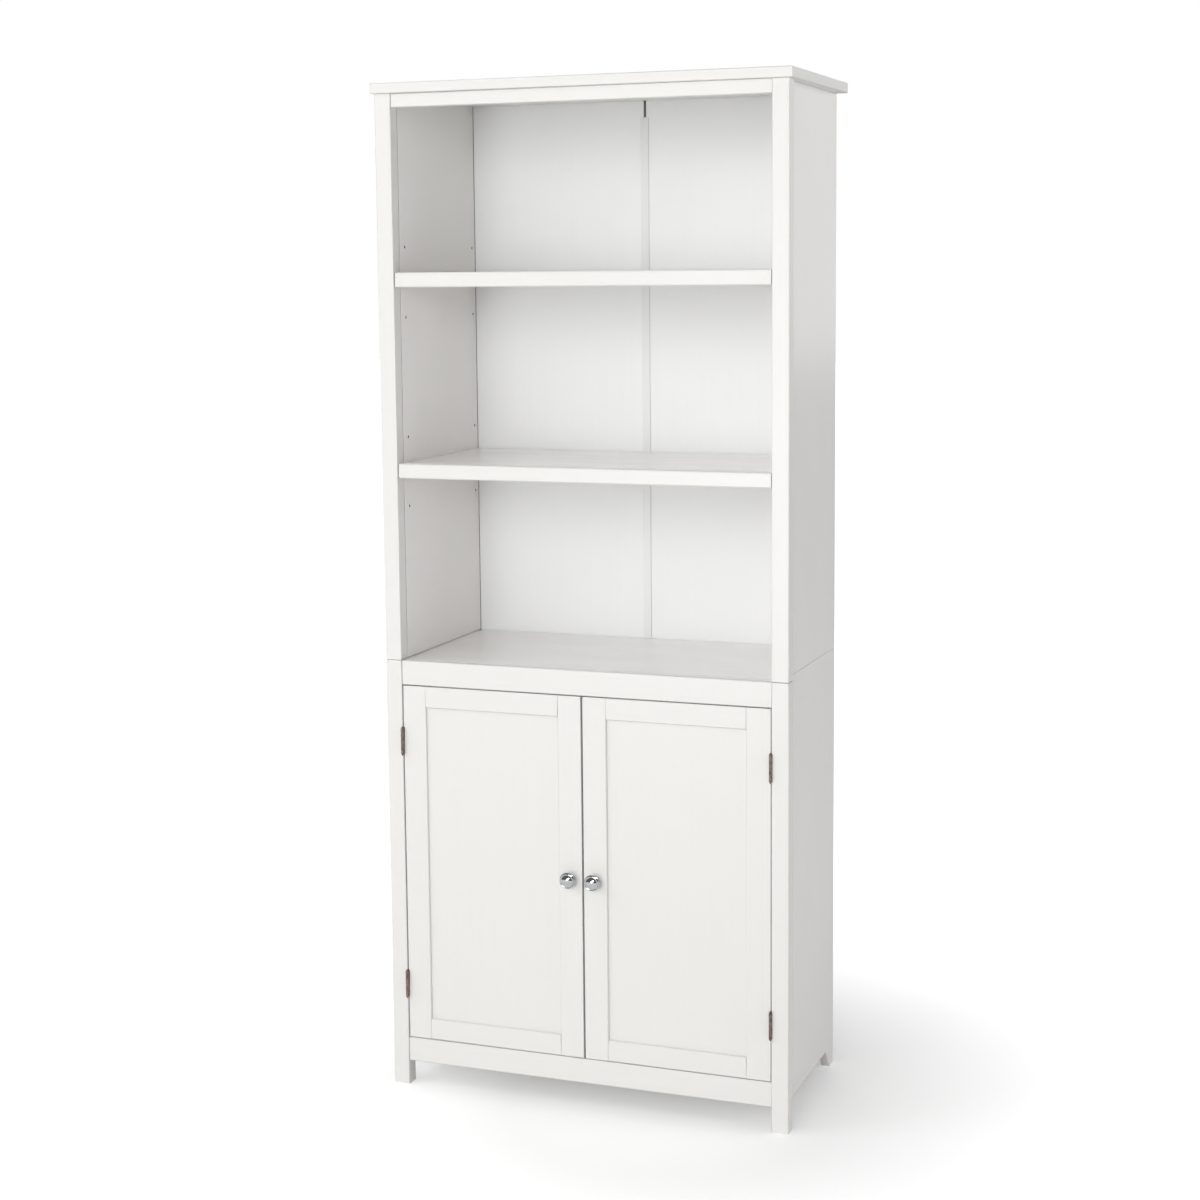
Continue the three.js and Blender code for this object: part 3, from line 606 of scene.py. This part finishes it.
def polished_chrome(name):
    """Chrome plate on polished brass: almost a mirror, with buffing marks too fine to see one by one."""
    material, tree, place, colours = new_material(name)
    # Handling leaves a haze in patches of 4 mm.
    haze = add(tree, "Mapping", spots(place, 4, 4, Z))
    haze = add(tree, "TexNoise", {"Vector": haze, "Scale": 1, "Detail": 2})
    # Buffing marks are 0.25 mm apart and 3 mm long.
    marks = add(tree, "Mapping", spots(place, 0.25, 3, X))
    marks = add(tree, "TexNoise", {"Vector": marks, "Scale": 1, "Detail": 2})
    tint = add(tree, "Mix", shades(haze, colours.chrome, colours.chrome_haze), data_type="RGBA")
    gloss = add(tree, "MapRange", {**NOISE_SPAN, "Value": haze, "To Min": 0.04, "To Max": 0.1})
    surface = {"Base Color": tint, "Metallic": 1, "Roughness": gloss}
    return surfaced(material, tree, surface, (marks, 0.002))


def aged_nickel(name):
    """Nickel plate on stamped steel, toned brown by age: brighter where hands and the leaves rub it."""
    material, tree, place, colours = new_material(name)
    # The patina lies in patches of 3 to 6 mm.
    patina = add(tree, "Mapping", spots(place, 3.5, 6, Z))
    patina = add(tree, "TexNoise", {"Vector": patina, "Scale": 1, "Detail": 4, "Roughness": 0.6})
    # The plate is pitted every half millimetre.
    pits = add(tree, "Mapping", spots(place, 0.5, 0.5, Z))
    pits = add(tree, "TexNoise", {"Vector": pits, "Scale": 1, "Detail": 2})
    toned = add(tree, "MapRange", {"Value": patina, "From Min": 0.35, "From Max": 0.65})
    tint = add(tree, "Mix", shades(toned, colours.nickel, colours.nickel_patina), data_type="RGBA")
    gloss = add(tree, "MapRange", {"Value": toned, "To Min": 0.26, "To Max": 0.44})
    surface = {"Base Color": tint, "Metallic": 1, "Roughness": gloss}
    return surfaced(material, tree, surface, (pits, 0.01))


def zinc_plate(name):
    """Bright zinc plate on steel: a faint mottle of duller crystals and drawing lines."""
    material, tree, place, colours = new_material(name)
    # The crystals are about 2 mm.
    crystals = add(tree, "Mapping", spots(place, 1.6, 2.4, Z))
    crystals = add(tree, "TexNoise", {"Vector": crystals, "Scale": 1, "Detail": 3})
    # The steel was drawn, which leaves lines 0.3 mm apart.
    lines = add(tree, "Mapping", spots(place, 0.3, 6, Y))
    lines = add(tree, "TexNoise", {"Vector": lines, "Scale": 1, "Detail": 2})
    dull = add(tree, "MapRange", {**NOISE_SPAN, "Value": crystals})
    tint = add(tree, "Mix", shades(dull, colours.zinc, colours.zinc_dull), data_type="RGBA")
    gloss = add(tree, "MapRange", {"Value": dull, "To Min": 0.22, "To Max": 0.38})
    surface = {"Base Color": tint, "Metallic": 1, "Roughness": gloss}
    return surfaced(material, tree, surface, (lines, 0.004))


UPRIGHT_PINE = "satin_paint_on_upright_pine"
LEVEL_PINE = "satin_paint_on_level_pine"
UPRIGHT_BOARD = "satin_paint_on_upright_board"
LEVEL_BOARD = "satin_paint_on_level_board"
HARDBOARD = "white_coated_hardboard"
STRIP_PLASTIC = "extruded_white_plastic"
CATCH_PLASTIC = "moulded_white_plastic"
CHROME = "polished_chrome"
NICKEL = "aged_nickel_plate"
ZINC = "bright_zinc_plate"
# The slot that each finish belongs to in the CAD model's record, and what makes it
FINISHES = {
    UPRIGHT_PINE: ("white_paint", lambda name: painted_wood(name, Z)),
    LEVEL_PINE: ("white_paint", lambda name: painted_wood(name, X)),
    UPRIGHT_BOARD: ("white_paint", lambda name: painted_board(name, Z, side_panel=True)),
    LEVEL_BOARD: ("white_paint", lambda name: painted_board(name, X)),
    HARDBOARD: ("white_hardboard", coated_hardboard),
    STRIP_PLASTIC: ("white_plastic", lambda name: drawn_plastic(name, Z, back_strip=True)),
    CATCH_PLASTIC: ("white_plastic", lambda name: drawn_plastic(name, X)),
    CHROME: ("chrome", polished_chrome),
    NICKEL: ("aged_nickel", aged_nickel),
    ZINC: ("zinc_steel", zinc_plate),
}


def material_of(finish):
    """The material of a finish, made when it is first asked for."""
    return bpy.data.materials.get(finish) or FINISHES[finish][1](finish)


# Pieces

class BOOKCASE_OT_carcass(bpy.types.Operator):
    """Paints the posts, side panels, rails and fixed boards, with their arrises rounded"""

    bl_idname = "bookcase.carcass"
    bl_label = "Posts, sides, rails and boards"

    def execute(self, context):
        sizes = context.scene.bookcase_sizes
        posts = [f"{level}_post_{hand}" for level in LEVELS for hand in HANDS]
        panels = [f"{level}_side_panel_{hand}" for level in LEVELS for hand in HANDS]
        finishes = {
            UPRIGHT_PINE: posts,
            UPRIGHT_BOARD: panels,
            LEVEL_PINE: ["top_board", "top_rail", "cabinet_top_rail", "cabinet_bottom_rail"],
            LEVEL_BOARD: ["cabinet_top_board", "cabinet_bottom_board"],
        }
        joint = high_corner("lower_post_left").z
        post_rear = high_corner("lower_post_left").y
        post_inner = low_corner("lower_post_right").x
        for finish, nodes in finishes.items():
            for node in nodes:
                square = (Y, post_rear) if node in panels else None
                mesh = finished_copy(node, finish, sizes.arris, square)
                if node.startswith("upper_"):
                    moved_face(mesh, Z, joint, sizes.unit_joint)
                if node in panels:
                    moved_face(mesh, Y, post_rear, sizes.butt_joint)
                if node.endswith("_rail"):
                    moved_face(mesh, X, post_inner, -sizes.butt_joint)
                    moved_face(mesh, X, -post_inner, sizes.butt_joint)
        return {"FINISHED"}


class BOOKCASE_OT_back(bpy.types.Operator):
    """Finishes the hardboard back panels and the plastic strip between them"""

    bl_idname = "bookcase.back"
    bl_label = "Back panels and strip"

    def execute(self, context):
        sizes = context.scene.bookcase_sizes
        refinish("lower_back_panel", HARDBOARD)
        for hand in HANDS:
            node = f"upper_back_panel_{hand}"
            mesh = finished_copy(node, HARDBOARD)
            moved_face(mesh, Y, low_corner(node).y, sizes.back_gap)
        finished_copy("upper_back_strip", STRIP_PLASTIC, sizes.steel_edge)
        return {"FINISHED"}


class BOOKCASE_OT_shelves(bpy.types.Operator):
    """Paints the three shelves and the deep nosings of the open ones"""

    bl_idname = "bookcase.shelves"
    bl_label = "Shelves"

    def execute(self, context):
        width = context.scene.bookcase_sizes.arris
        for node in ("shelf_upper_board", "shelf_lower_board", "cabinet_shelf"):
            finished_copy(node, LEVEL_BOARD, width)
        for node in ("shelf_upper_nosing", "shelf_lower_nosing"):
            finished_copy(node, LEVEL_PINE, width)
        return {"FINISHED"}


class BOOKCASE_OT_doors(bpy.types.Operator):
    """Paints the stiles, rails and panels of the two doors"""

    bl_idname = "bookcase.doors"
    bl_label = "Doors"

    def execute(self, context):
        sizes = context.scene.bookcase_sizes
        for hand, sign in HANDS.items():
            finished_copy(f"door_{hand}_hinge_stile", UPRIGHT_PINE, sizes.arris)
            stile = f"door_{hand}_meeting_stile"
            edge = low_corner(stile).x if sign > 0 else high_corner(stile).x
            mesh = finished_copy(stile, UPRIGHT_PINE, sizes.arris)
            moved_face(mesh, X, edge, sign * sizes.meeting_gap / 2)
            for part in ("top_rail", "bottom_rail"):
                finished_copy(f"door_{hand}_{part}", LEVEL_PINE, sizes.arris)
            refinish(f"door_{hand}_panel", UPRIGHT_PINE)
        return {"FINISHED"}


class BOOKCASE_OT_knobs(bpy.types.Operator):
    """Turns the two chrome knobs, each with a foot, a hollow neck and a domed head, and their screws"""

    bl_idname = "bookcase.knobs"
    bl_label = "Door knobs and their screws"

    def execute(self, context):
        sizes = context.scene.bookcase_sizes
        door_thickness = 18 * MM
        for hand in HANDS:
            knob = f"door_{hand}_knob"
            screw = f"door_{hand}_knob_screw"
            centre = middle(knob)
            low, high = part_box(knob)
            door_face = high.y
            rings = self.knob_rings((high.x - low.x) / 2, high.y - low.y)
            skin = placed(rings, (centre.x, door_face, centre.z), RIGHT, UP, FORWARD)
            surface_piece(f"{knob}_turned", [skin], CHROME, knob)
            # The CAD model's screw head has eight sides, and its box is as wide as they are.
            low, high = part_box(screw)
            radius = (high.x - low.x) / 2 / math.cos(math.pi / 8)
            rings = self.screw_rings(radius, low.y, door_face + door_thickness, high.y, sizes)
            skin = placed(rings, (centre.x, 0, centre.z), RIGHT, UP, BACKWARD)
            surface_piece(f"{screw}_turned", [skin], ZINC, screw)
        return {"FINISHED"}

    def knob_rings(self, head, reach):
        """A profile turned about the knob's axis.

        From the door outward it has a foot, a hollow neck, the hollow underside of the head, its rim, a
        groove and a dome, which is flatter than half a ball: its height and radius, each as a
        share of its largest and to the power of the flatness, add up to 1.
        """
        foot = 7.5 * MM
        neck = 5.0 * MM
        neck_hollow = 4.5 * MM
        head_hollow = 4.6 * MM
        rim = 1.3 * MM
        head_base = reach - 9 * MM
        groove = head_base + 1.9 * rim
        crown = head - 2.6 * MM
        flatness = 2.2
        way = np.radians(np.linspace(6, 89, 20))
        dome = (
            groove + (reach - groove) * np.sin(way) ** (2 / flatness),
            crown * np.cos(way) ** (2 / flatness),
        )
        profile = joined_profile(
            (0.05 * MM, foot - 1.0 * MM),
            (0.0, foot - 0.3 * MM),
            arc(0.9 * MM, foot - 0.6 * MM, 0.6 * MM, -60, 60, 6),
            arc(1.5 * MM + neck_hollow, neck + neck_hollow, neck_hollow, 262, 150, 10),
            arc(head_base - 4.0 * MM, head - 3.0 * MM, head_hollow, 172, 96, 8),
            arc(head_base + rim, head - rim, rim, -70, 82, 9),
            (groove - 0.25 * MM, crown + 0.9 * MM),
            (groove - 0.3 * MM, crown + 0.45 * MM),
            dome,
        )
        return turned(*profile, around=72)

    def screw_rings(self, radius, tip, seat, top, sizes):
        """A shank from its tip to the door's face, then a pan head with a cross recess."""
        shank = 1.9 * MM
        point = 1.2 * MM
        height = top - seat
        profile = joined_profile(
            (tip, 0.4 * MM),
            (tip + point, shank),
            (seat, shank),
            (seat, radius - 0.15 * MM),
            arc(seat + height * 0.45, radius - height * 0.5, height * 0.5, -20, 82, 8),
        )
        return screw_head(profile, sizes, top - 0.06 * MM)


class BOOKCASE_OT_hinges(bpy.types.Operator):
    """Makes the leaves of the four butt hinges, with their knuckles, pins and screws"""

    bl_idname = "bookcase.hinges"
    bl_label = "Hinges"

    def execute(self, context):
        sizes = context.scene.bookcase_sizes
        cad_knuckle = 3.3 * MM
        for level in LEVELS:
            for hand, sign in HANDS.items():
                frame_leaf = f"hinge_{level}_{hand}_frame_leaf"
                door_leaf = f"hinge_{level}_{hand}_door_leaf"
                low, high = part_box(door_leaf)
                axis_x = high.x - cad_knuckle if sign > 0 else low.x + cad_knuckle
                axis = Vector((axis_x, low.y + cad_knuckle, (low.z + high.z) / 2))
                tall = high.z - low.z
                reach = high.y - axis.y
                # The frame's leaf has the first, third and fifth knuckle and the pin.
                skins = self.leaf_rings(axis, sign, tall, reach, 0, sizes)
                skins.append(self.pin_rings(axis, tall))
                surface_piece(f"{frame_leaf}_stamped", skins, NICKEL, frame_leaf)
                skins = self.leaf_rings(axis, -sign, tall, reach, 1, sizes)
                surface_piece(f"{door_leaf}_stamped", skins, NICKEL, door_leaf)
        return {"FINISHED"}

    def leaf_rings(self, axis, way, tall, reach, first, sizes):
        """A plate beside the pin, its knuckles in every other fifth of its height, and two screws."""
        gap = 0.75 * MM
        thickness = 1.2 * MM
        front = 3.6 * MM
        strap = front + 1.5 * MM
        clearance = 0.15 * MM
        screw_from_front = 6.4 * MM
        screw_from_middle = 14 * MM
        width = reach - front
        flat = plate(width, tall, thickness, 1.2 * MM, sizes.steel_edge)
        centre = (axis.x + way * gap, axis.y + front + width / 2, axis.z)
        skins = [placed(flat, centre, BACKWARD, UP, (way, 0, 0))]
        pitch = tall / 5
        for index in range(first, 5, 2):
            low = axis.z - tall / 2 + index * pitch + clearance
            rings = self.knuckle_rings(gap, thickness, strap, pitch - 2 * clearance, sizes)
            skins.append(placed(rings, (axis.x, axis.y, low), (way, 0, 0), BACKWARD, UP))
        for end in (-1, 1):
            head = sunk_head(sizes.screw_head, sizes, 1.0 * MM, 0.1 * MM, 0.02 * MM)
            height = axis.z + end * screw_from_middle
            at = (axis.x + way * gap, axis.y + front + screw_from_front, height)
            skins.append(placed(head, at, BACKWARD, UP, (-way, 0, 0)))
        return skins

    def knuckle_rings(self, gap, thickness, reach, height, sizes):
        """A barrel with a strap that runs back to the leaf.

        At angle a the outline is max(radius, min(far / cos a, reach / sin a)) over the strap, and the
        radius elsewhere. It is carried straight up and drawn in along a quarter circle at each end.
        """
        radius = sizes.knuckle
        strap_start = 0.5
        way = np.linspace(0, 2 * np.pi, 64, endpoint=False)
        far = gap + thickness
        strap = (way > strap_start) & (way < math.atan2(reach, gap))
        outline = np.full(len(way), radius)
        box = np.minimum(far / np.cos(way[strap]), reach / np.sin(way[strap]))
        outline[strap] = np.maximum(radius, box)
        inset, high = quarter_rounds(sizes.knuckle_end, height)
        size = outline[None, :] - inset[:, None]
        high = np.broadcast_to(high[:, None], size.shape)
        return np.stack([size * np.cos(way), size * np.sin(way), high], axis=-1)

    def pin_rings(self, axis, tall):
        """The pin with a small ball at each end, turned about its axis and the same upside down."""
        ball = 1.5 * MM
        neck = 1.1 * MM
        upper = joined_profile(
            (tall / 2 - 1.0 * MM, neck),
            (tall / 2, neck),
            arc(tall / 2 + 1.1 * MM, 0.0, ball, -43, 88, 14),
        )
        heights = np.concatenate([-upper[0][::-1], upper[0]])
        radii = np.concatenate([upper[1][::-1], upper[1]])
        return placed(turned(heights, radii, around=32), axis, RIGHT, BACKWARD, UP)


class BOOKCASE_OT_shelf_pins(bpy.types.Operator):
    """Turns the twelve shelf pins, each a peg with a collar"""

    bl_idname = "bookcase.shelf_pins"
    bl_label = "Shelf pins"

    def execute(self, context):
        for shelf in SHELVES:
            for hand, sign in HANDS.items():
                for row in ("front", "rear"):
                    node = f"{shelf}_pin_{row}_{hand}"
                    low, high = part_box(node)
                    centre = (low + high) / 2
                    outer = high.x if sign > 0 else low.x
                    rings = self.pin_rings(high.x - low.x)
                    skin = placed(rings, (outer, centre.y, centre.z), BACKWARD, UP, (-sign, 0, 0))
                    surface_piece(f"{node}_turned", [skin], ZINC, node)
        return {"FINISHED"}

    def pin_rings(self, reach):
        """A peg turned about its axis, with a collar at the panel's face and a domed end."""
        face = 8 * MM
        peg = 2.45 * MM
        collar = 3.7 * MM
        edge = 0.3 * MM
        dome = 0.9 * MM
        profile = joined_profile(
            (0.0, peg - 0.6 * MM),
            arc(0.4 * MM, peg - 0.4 * MM, 0.4 * MM, -80, 0, 4),
            (face, peg),
            (face, collar - edge),
            arc(face + edge, collar - edge, edge, -80, 0, 4),
            arc(face + 0.7 * MM, collar - edge, edge, 0, 80, 4),
            (face + 1 * MM, peg + 0.1 * MM),
            (face + 1.15 * MM, peg),
            arc(reach - dome, peg - dome, dome, 0, 86, 7),
        )
        return turned(*profile, around=28)


class BOOKCASE_OT_catch(bpy.types.Operator):
    """Finishes the magnetic catch and the strike plates, with their pole plates and screws"""

    bl_idname = "bookcase.catch"
    bl_label = "Magnetic catch and strikes"

    def execute(self, context):
        sizes = context.scene.bookcase_sizes
        finished_copy("magnetic_catch", CATCH_PLASTIC, 0.5 * MM)
        low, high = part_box("magnetic_catch")
        # The steel poles come through the catch's front, 7 mm above its underside.
        pole_root = low.y + 1.95 * MM
        pole_height = low.z + 7 * MM
        pole_spread = 3.2 * MM
        strike_screw = 2.4 * MM
        catch_screw = 2.8 * MM
        screw_from_middle = 15 * MM
        screw_from_top = 9 * MM
        poles = []
        for hand in HANDS:
            strike = f"door_{hand}_strike"
            finished_copy(strike, ZINC, sizes.steel_edge * 0.6)
            centre = middle(strike)
            head = sunk_head(strike_screw, sizes)
            skin = placed(head, (centre.x, high_corner(strike).y, centre.z), RIGHT, UP, BACKWARD)
            surface_piece(f"door_{hand}_strike_screw", [skin], ZINC, body=f"door_{hand}")
            for offset in (-pole_spread, pole_spread):
                bar = plate(1.8 * MM, 11 * MM, 1.0 * MM, 0.3 * MM, 0.12 * MM)
                at = (centre.x + offset, pole_root, pole_height)
                poles.append(placed(bar, at, RIGHT, UP, FORWARD))
        surface_piece("magnetic_catch_poles", poles, ZINC, body="carcass")
        screws = []
        for sign in HANDS.values():
            head = sunk_head(catch_screw, sizes)
            at = (sign * screw_from_middle, high.y, high.z - screw_from_top)
            screws.append(placed(head, at, RIGHT, UP, BACKWARD))
        surface_piece("magnetic_catch_screws", screws, ZINC, body="carcass")
        return {"FINISHED"}


# The stage

class BOOKCASE_OT_stage(bpy.types.Operator):
    """Lays the pale floor and sets the camera, the lamps and the light from all round"""

    bl_idname = "bookcase.stage"
    bl_label = "Stage"

    def execute(self, context):
        scene = context.scene
        settings = scene.bookcase_stage
        self.lay_floor(settings)
        self.light_world(scene, settings)
        # The lamp in front is a long soft box that leans, and the knobs show it as a band.
        self.hang_lamp("front_lamp", (2, 9, 6.0), (1.1, 5.0), settings.front_power, -45, True)
        self.hang_lamp("high_lamp", (-20, 24, 6.0), (2.8, 2.8), settings.high_power)
        self.hang_lamp("left_lamp", (-55, 34, 4.5), (2.8, 2.8), settings.left_power)
        self.hang_lamp("right_lamp", (90, 0, 4.2), (2.8, 2.8), settings.right_power)
        self.set_camera(scene, settings)
        scene.view_settings.view_transform = "Standard"
        return {"FINISHED"}

    def lay_floor(self, settings):
        """A level sheet, white to the camera except where the object shades it and where a painted
        shadow lowers its glow.
        """
        shaded_colour = (0.9, 0.9, 0.9, 1)
        # Painted shadow: the floor glows less near a point at the object's front and right, on top of
        # the real shadow in its shaded part.
        painted_shadow_middle = (0.15, -0.12, 0)
        painted_shadow_reach = {"From Min": 0.3, "From Max": 1.4}
        painted_shadow_glow = 0.24
        # Metal shows the floor less bright than the lens sees it.
        glow_in_metal = 0.1
        half_width = 30.0
        material, tree, place, _ = new_material("pale_floor")
        rays, seen = self.seeing_rays(tree)
        away = add(tree, "VectorMath", {0: place, 1: painted_shadow_middle}, operation="DISTANCE")
        away = away.outputs["Value"]
        glow = add(tree, "MapRange", {**painted_shadow_reach, "Value": away, "To Min": painted_shadow_glow})
        in_metal = rays.outputs["Is Glossy Ray"]
        share = add(tree, "MapRange", {"Value": in_metal, "To Min": 1, "To Max": glow_in_metal})
        glow = add(tree, "Math", {0: glow, 1: share}, operation="MULTIPLY")
        lit = add(tree, "Emission", {"Color": (1, 1, 1, 1), "Strength": glow})
        shaded = add(tree, "BsdfDiffuse", {"Color": shaded_colour})
        both = add(tree, "AddShader", {0: lit, 1: shaded})
        plain = add(tree, "BsdfDiffuse", {"Color": settings.floor})
        mixed = add(tree, "MixShader", {0: seen, 1: plain, 2: both})
        add(tree, "OutputMaterial", {"Surface": mixed})
        corners = [(x * half_width, y * half_width, 0) for x, y in ((-1, -1), (1, -1), (1, 1), (-1, 1))]
        mesh = bpy.data.meshes.new("floor")
        mesh.from_pydata(corners, [], [(0, 1, 2, 3)])
        mesh.materials.append(material)
        linked("floor", mesh)

    def seeing_rays(self, tree):
        """The kinds of ray, and a mask of 1 for the lens and for what mirrors or lets light by."""
        rays = add(tree, "LightPath")
        seen = add(tree, "Math", {0: rays.outputs["Is Camera Ray"], 1: rays.outputs["Is Glossy Ray"]})
        seen = add(tree, "Math", {0: seen, 1: rays.outputs["Is Transmission Ray"]}, use_clamp=True)
        return rays, seen

    def light_world(self, scene, settings):
        """White to the lens, and a weaker, even light for all else.

        Metal and glass see it white behind the object and as a dim studio in front of it.
        """
        # How far back a reflection looks where the studio starts to turn white and where it is white
        studio_end = -0.25
        white_start = 0.15
        scene.world = bpy.data.worlds.new("studio")
        tree = emptied(scene.world)
        rays, seen = self.seeing_rays(tree)
        way = add(tree, "TexCoord").outputs["Generated"]
        way = add(tree, "SeparateXYZ", {"Vector": way})
        behind = add(tree, "MapRange", {
            "Value": way.outputs["Y"],
            "From Min": studio_end,
            "From Max": white_start,
            "To Min": settings.studio,
        })
        bright = add(tree, "Math", {0: behind, 1: rays.outputs["Is Camera Ray"]}, operation="MAXIMUM")
        white = add(tree, "Background", {"Color": (1, 1, 1, 1), "Strength": bright})
        even = add(tree, "Background", {"Color": (1, 1, 1, 1), "Strength": settings.sky})
        mixed = add(tree, "MixShader", {0: seen, 1: even, 2: white})
        add(tree, "OutputWorld", {"Surface": mixed})

    def hang_lamp(self, name, place, size, power, lean=0, in_gloss=False):
        """A soft box that faces the object's middle.

        Its place is its turn to the right of the front and its rise in degrees, and its distance in
        metres. Its size is its width and height before it leans, in degrees. Only a lamp in gloss shows
        in what mirrors.
        """
        target = Vector((0, 0, 0.9))
        turn = math.radians(place[0])
        rise = math.radians(place[1])
        ahead = math.cos(rise)
        away = Vector((math.sin(turn) * ahead, -math.cos(turn) * ahead, math.sin(rise)))
        data = bpy.data.lights.new(name, "AREA")
        data.shape = "RECTANGLE"
        data.size, data.size_y = size
        data.energy = power
        lamp = linked(name, data)
        leaning = Matrix.Rotation(math.radians(lean), 3, "Z")
        facing = away.to_track_quat("Z", "Y").to_matrix() @ leaning
        lamp.matrix_world = Matrix.Translation(target + away * place[2]) @ facing.to_4x4()
        lamp.visible_camera = False
        lamp.visible_glossy = in_gloss

    def set_camera(self, scene, settings):
        data = bpy.data.cameras.new("camera")
        data.sensor_width = 36
        data.lens = settings.lens
        data.shift_y = settings.shift
        camera = linked("camera", data)
        turn = Matrix.Rotation(settings.turn, 4, "Z")
        tilt = Matrix.Rotation(math.pi / 2 - settings.tilt, 4, "X")
        roll = Matrix.Rotation(settings.roll, 4, "Z")
        camera.matrix_world = Matrix.Translation(Vector(settings.camera_place)) @ turn @ tilt @ roll
        scene.camera = camera


class BOOKCASE_PT_steps(bpy.types.Panel):
    """The bookcase's steps and settings in the sidebar."""

    bl_idname = "BOOKCASE_PT_steps"
    bl_label = "Bookcase"
    bl_space_type = "VIEW_3D"
    bl_region_type = "UI"
    bl_category = "Bookcase"

    def draw(self, context):
        for step in STEPS:
            self.layout.operator(step.bl_idname)
        for group in SETTINGS:
            settings = getattr(context.scene, group)
            column = self.layout.column()
            for name in settings.__annotations__:
                column.prop(settings, name)


SETTINGS = {
    "bookcase_finishes": BookcaseFinishes,
    "bookcase_sizes": BookcaseSizes,
    "bookcase_stage": BookcaseStage,
}
STEPS = (
    BOOKCASE_OT_carcass,
    BOOKCASE_OT_back,
    BOOKCASE_OT_shelves,
    BOOKCASE_OT_doors,
    BOOKCASE_OT_knobs,
    BOOKCASE_OT_hinges,
    BOOKCASE_OT_shelf_pins,
    BOOKCASE_OT_catch,
    BOOKCASE_OT_stage,
)


def register():
    for group in (*SETTINGS.values(), *STEPS, BOOKCASE_PT_steps):
        bpy.utils.register_class(group)
    for name, group in SETTINGS.items():
        setattr(bpy.types.Scene, name, bpy.props.PointerProperty(type=group))


def unregister():
    for name in SETTINGS:
        delattr(bpy.types.Scene, name)
    for group in reversed((*SETTINGS.values(), *STEPS, BOOKCASE_PT_steps)):
        bpy.utils.unregister_class(group)


def main():
    """Builds every piece and the stage."""
    register()
    bpy.ops.bookcase.carcass()
    bpy.ops.bookcase.back()
    bpy.ops.bookcase.shelves()
    bpy.ops.bookcase.doors()
    bpy.ops.bookcase.knobs()
    bpy.ops.bookcase.hinges()
    bpy.ops.bookcase.shelf_pins()
    bpy.ops.bookcase.catch()
    bpy.ops.bookcase.stage()


if __name__ == "__main__":
    main()
